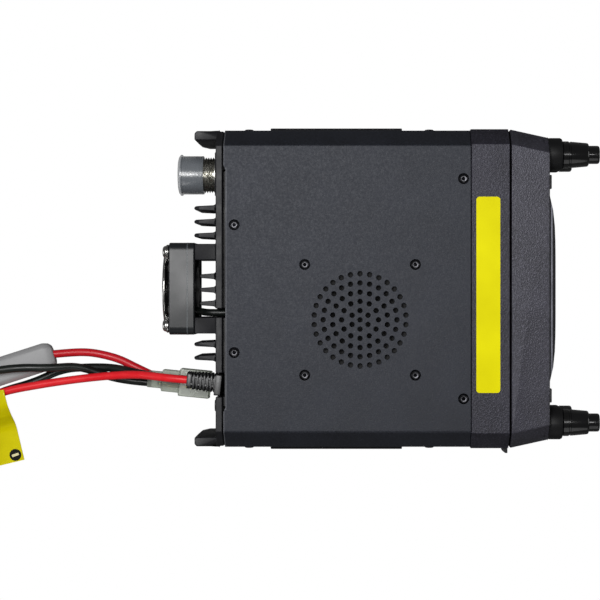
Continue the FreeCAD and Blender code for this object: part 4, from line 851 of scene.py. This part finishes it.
cover_paint = wrinkle("cover_paint", shade(16, 17, 21), shade(34, 36, 43))
holes = [(*GRILLE, HOLE, 20)]
for ring in range(1, HOLE_RINGS + 1):
    for step in range(6 * ring):
        turn = math.tau * step / (6 * ring)
        holes.append((GRILLE[0] + HOLE_PITCH * ring * math.cos(turn),
                      GRILLE[1] + HOLE_PITCH * ring * math.sin(turn), HOLE, 20))
holes += [(x, y, DISH, 28) for x, y in COVER_SCREWS + SPEAKER_SCREWS]
outline = [(SHOULDER, FRONT), (SHOULDER, TAB), (53.6, TAB), (51.6, REAR),
           (-51.6, REAR), (-53.6, TAB), (-SHOULDER, TAB), (-SHOULDER, FRONT)]
top = punched(outline, holes, TOP)
side = rounded([(61.0, TOP), (62.4, TOP), (SIDE, 30), (SIDE, 24)], 1.3, 6, False)
side[0][0] = SHOULDER
wings = [grid([at_depth(side * (way, 1), y) for y in (FRONT, TAB)]) for way in (1, -1)]
cover = made("top_sheet", [top] + wings, cover_paint, "cover_paint", "top_cover", sharp=25)
if sum(face.normal.z * face.area for face in cover.data.polygons) < 0:
    cover.data.flip_normals()
sheet = cover.modifiers.new("sheet", "SOLIDIFY")
sheet.thickness = SHEET / 1000
sheet.offset = -1
sheet.use_even_offset = True
bevelled(cover, "rims", 0.14, 2, 50)
softened("bottom_cover", cover_paint, "cover_paint", 0.14)


# All the small screws are black steel with a hexagon recess. Those of the covers are countersunk
# into their dished seats, and those at the sides have low round heads. Below the face of a
# countersunk head, its recess included, the steel is painted near black as painted shade.
RECESS_DEPTH = 0.55
SIDE_SCREW_Z, SIDE_SCREWS_Y = 27, (51.6, -27.6)
screw_steel = metal("screw_steel", shade(60, 60, 63), shade(34, 34, 37), 0.3)
sunk = metal("sunk_screw_steel", shade(64, 64, 67), shade(36, 36, 39), 0.3)
unshaded_face = sunk.along(2).away(TOP / 2, TOP / 2 - RECESS_DEPTH)
# Painted shade: all but the face of each countersunk head, recess included, is near black.
sunk.paint(unshaded_face, shade(4, 4, 5), shade(64, 64, 67))
flush = screw_head([(1.2, -0.3), (1.5, -0.16), (1.72, -0.3), (1.85, -0.75), (2.12, -0.75),
                    (2.24, -0.3), (2.3, -0.05), (2.28, -0.9), (1.05, -1.3), (1.05, -4.6),
                    (0, -4.6)], (0.9, -1.15))
made("cover_screw_heads", [placed(flush, x, y, TOP) for x, y in COVER_SCREWS]
     + [placed(flush, x, y, 0, "Z", -1) for x, y in COVER_SCREWS],
     sunk, "screw_steel", "cover_screws")
made("speaker_screw_heads", [placed(flush, x, y, TOP) for x, y in SPEAKER_SCREWS],
     sunk, "screw_steel", "speaker_screws")
low = screw_head([(1.2, 0.6), (1.6, 0.52), (1.9, 0.34), (2.05, 0.12), (2.05, 0), (1.05, 0),
                  (1.05, -3.1), (0, -3.1)], (0.75, 0.1))
made("side_screw_heads", [placed(low, way * SIDE, y, SIDE_SCREW_Z, "X", way)
                          for way in (1, -1) for y in SIDE_SCREWS_Y],
     screw_steel, "screw_steel", "side_screws")


# Under the grille sits a round speaker: a pressed steel basket, a black paper cone and a ferrite
# magnet. The screws beside the grille hold it to the cover.
basket_steel = metal("basket_steel", shade(120, 120, 124), shade(84, 84, 88), 0.4)
softened("speaker_basket", basket_steel, "tin", 0.15)
paper = Finish("cone_paper", shade(20, 20, 21), rough=0.9)
fibre = paper.noise(1.2, 4, (1, 0.3, 1))
paper.paint(fibre.spread(0.35, 0.7), shade(14, 14, 15), shade(30, 30, 31))
paper.relief(fibre, 0.06)
softened("speaker_cone", paper, "paper", 0.1)
ferrite = moulded("ferrite", shade(48, 48, 50), rough=0.7, grain=0.3)
softened("speaker_magnet", ferrite, "magnet", 0.4)


# The boards are green laminate with tinned pads. A tinned can covers the radio stage, and the
# output stage is a black module clamped to the deck.
board_green = Finish("board_green", shade(28, 92, 58), rough=0.35)
lanes = board_green.noise(2.2, 1, (1, 0.25, 1))
green = board_green.blend(lanes.spread(0.45, 0.55), shade(22, 82, 50), shade(40, 118, 74))
off_pads = board_green.cells(2.5).above(0.12)
board_green.paint(off_pads, shade(190, 190, 186), green)
board_green.set("Metallic", (1 - off_pads) * 0.9)
board_green.relief(lanes, 0.03)
softened("main_board", board_green, "board_green", 0.1)
softened("head_board", board_green, "board_green", 0.1)
tin = metal("tinned_can", shade(178, 180, 180), shade(140, 142, 142), 0.3)
softened("shield_can", tin, "tin", 0.3)
softened("power_module", socket_plastic, "socket_black", 0.3)


# The collar between the body and the control head is a plastic moulding with a sparkle finish. On
# its side are the microphone socket and the latch that lets the head go. A yellow label is on top.
def sparkle(name, colour, pale, specular):
    """Grained plastic whose blunt grains catch the light one by one."""
    finish = Finish(name, colour, rough=0.42, specular=specular)
    finish.set("Specular Tint", (0.9, 0.9, 1, 1))
    grain = finish.noise(0.9, 2, rough=0.7)
    fine = finish.noise(0.45, 1)
    finish.paint(finish.noise(18, 2).spread(0.35, 0.7), colour, pale)
    spots = grain.spread(0.5, 0.68, 0, 0.6) + fine.spread(0.62, 0.78, 0, 0.4)
    finish.paint_over(spots, tuple(c * 2.2 for c in pale))
    finish.set("Roughness", grain.spread(0.3, 0.7, 0.5, 0.36))
    finish.relief(grain + fine * 0.6, 0.1)
    return finish


collar_plastic = sparkle("collar_plastic", shade(19, 18, 24), shade(33, 32, 40), 0.27)
softened("front_shroud", collar_plastic, "shroud_plastic", 0.4, 3)
label = Finish("label", shade(244, 236, 20), rough=0.4, specular=0.03)
label.paint(label.noise(20, 2).spread(0.3, 0.7), shade(215, 206, 1), shade(227, 219, 4))
label.relief(label.noise(5, 2), 0.02)
LABEL_LEFT, LABEL_RIGHT = -45.2, 39.9
LABEL_FRONT, LABEL_MIDDLE, LABEL_REAR = -58, -52.8, -47.6
LABEL_FOOT, LABEL_RIM, LABEL_TOP = 40.38, 40.47, 40.5
corners = rounded([(LABEL_LEFT, LABEL_FRONT), (LABEL_RIGHT, LABEL_FRONT),
                   (LABEL_RIGHT, LABEL_REAR), (LABEL_LEFT, LABEL_REAR)], 1.4, 7)
sticker = lofted([
    [(x, y, LABEL_FOOT) for x, y in corners],
    [(x, y, LABEL_RIM) for x, y in corners],
    [(x * 0.9995, LABEL_MIDDLE + (y - LABEL_MIDDLE) * 0.994, LABEL_TOP) for x, y in corners]])
made("blank_label", [sticker], label, "tag_yellow", "front_shroud")
softened("microphone_socket", socket_plastic, "socket_black", 0.25)
softened("link_socket", socket_plastic, "socket_black", 0.25)
softened("release_latch", socket_plastic, "shroud_plastic", 0.25)


# The control head is a tapered case with the same sparkle on top and a glossy black front, which
# has two platforms for the knobs. A rear cover closes it.
HEAD_FRONT = -79.45
head_plastic = sparkle("head_plastic", shade(24, 23, 29), shade(39, 38, 46), 0.55)
head_plastic.paint_over(1 - head_plastic.along(1).above(HEAD_FRONT), shade(14, 14, 15))
softened("head_case", head_plastic, "head_plastic", 0.5, 3)
softened("head_back", socket_plastic, "head_plastic", 0.2)
softened("head_plug", socket_plastic, "socket_black", 0.2)
softened("volume_pots", tin, "tin", 0.15)
softened("dial_encoders", tin, "tin", 0.15)
softened("key_switches", socket_plastic, "key_plastic", 0.15)


# The window is a bowed, hard-coated lens, smoked so that the display behind it shows only as a
# panel. A light band is painted along it close to the case, a painted highlight.
WINDOW_Z = 25.5
PANE_HALF_X, PANE_HALF_Z = 36, 7.6
RIM_HALF_Z = 9.3
HIGHLIGHT_Y, HIGHLIGHT_HALF = -80.75, 0.35
lens = Finish("lens", shade(20, 21, 26), rough=0.08, specular=0.12)
pane = lens.along(0).near(0, PANE_HALF_X) * lens.along(2).near(WINDOW_Z, PANE_HALF_Z)
highlight_band = lens.along(1).near(HIGHLIGHT_Y, HIGHLIGHT_HALF)
rim = lens.along(2).away(WINDOW_Z, RIM_HALF_Z)
lens.paint(pane, shade(16, 17, 20), shade(44, 49, 48))
# Painted highlight: a light band along the lens close to the case.
lens.paint_over(highlight_band * lens.noise(12, 2).spread(0.3, 0.7, 0.6, 1.0), shade(128, 128, 138))
lens.set("Coat Weight", (1 - rim) * lens.noise(9, 2).spread(0.3, 0.7, 0.7, 1.0))
lens.set("Roughness", rim * 0.45 + 0.08)
lens.relief(lens.noise(6, 1), 0.01)
softened("display_lens", lens, "lens", 0.5, 3, 20)
glass = Finish("display_glass", shade(70, 80, 74), rough=0.2)
glass.paint(glass.noise(6, 2).spread(0.3, 0.7), shade(64, 74, 68), shade(84, 94, 86))
softened("display_panel", glass, "display", 0.3)


# The knobs are glossy black mouldings, pushed on spindles. On each side a volume knob stands in a
# squelch ring, over a tuning dial, on a platform of the head. Their rims are fluted for grip.
def fluted(count, deep, first, last):
    """Shallow flutes between two depths: the radius falls by deep between count even ridges.

    At an angle t it falls by deep * (0.5 - 0.5 cos(count * t)) ** 2, and less near both ends.
    """
    def inset(turns, depth):
        fade = min(1, max(0, min(depth - first, last - depth)) / 0.5)
        return -deep * fade * (0.5 - 0.5 * np.cos(count * turns)) ** 2
    return inset


KNOB_X, RING_Z, DIAL_Z = 58.8, 28.5, 12.5
RING = [(1.75, -71), (3, -71.2), (3, -86.1), (5.7, -86.1), (5.95, -86.3), (5.95, -88.6),
        (5.6, -88.9), (5.6, -89.4), (5.8, -89.6), (5.2, -96.6), (5.05, -97.1), (4.7, -97.4),
        (4.4, -97.5), (4.25, -97.5), (4.2, -97.1), (1.75, -97.1), (1.75, -71)]
TIP = [(0, -71.6), (1.5, -71.6), (1.5, -97.2), (4, -97.2), (4, -101.3), (3.9, -101.8),
       (3.6, -102.15), (3.2, -102.3), (2.4, -102.25), (0, -102.1)]
DIAL = [(0, -71.6), (3, -71.6), (3, -86.1), (6.3, -86.1), (6.5, -86.3), (6.5, -90.8), (6.3, -91.3),
        (5.9, -91.6), (5.3, -91.7), (4.6, -91.4), (0, -91.2)]
knob_plastic = moulded("knob_plastic", shade(10, 10, 11), 0.2, grain=3.0, lift=2, specular=0.3,
                       depth=0.003)
knob_plastic.set("Coat Weight", knob_plastic.noise(8, 2).spread(0.3, 0.7, 0.3, 0.5))
knob_plastic.set("Coat Roughness", 0.08)
block_plastic = moulded("block_plastic", shade(16, 16, 17), 0.5, grain=0.8, lift=3, specular=0.15)
blocks = [cushion(way * 59.1, -85.95, -79.2, 20.5, half_x=7.1, half_z=15.1, radius=7.05, soft=1.1)
          for way in (1, -1)]
made("knob_blocks", blocks, block_plastic, "head_plastic", "head_case")
for side, x in (("left", -KNOB_X), ("right", KNOB_X)):
    for piece, profile, z, count, flutes, node in (
            ("squelch_ring_", RING, RING_Z, 128, fluted(32, 0.04, -96.9, -89.8), "squelch_knob_"),
            ("volume_tip_", TIP, RING_Z, 96, fluted(24, 0.03, -101.5, -97.6), "volume_knob_"),
            ("dial_wheel_", DIAL, DIAL_Z, 160, fluted(40, 0.24, -91.0, -86.5), "dial_knob_")):
        made(piece + side, [wheel(profile, x, z, count, flutes)], knob_plastic, "knob_plastic",
             node + side)


# The keys are small caps of satin black plastic with a softened top edge. Each is held in by a
# flange behind the front wall of the head.
key_plastic = moulded("key_plastic", shade(30, 30, 32), rough=0.38, grain=0.5, lift=5)
for node in ["key_%d" % n for n in range(1, 7)] + ["power_key", "button_left", "button_right"]:
    softened(node, key_plastic, "key_plastic", 0.35, 3)
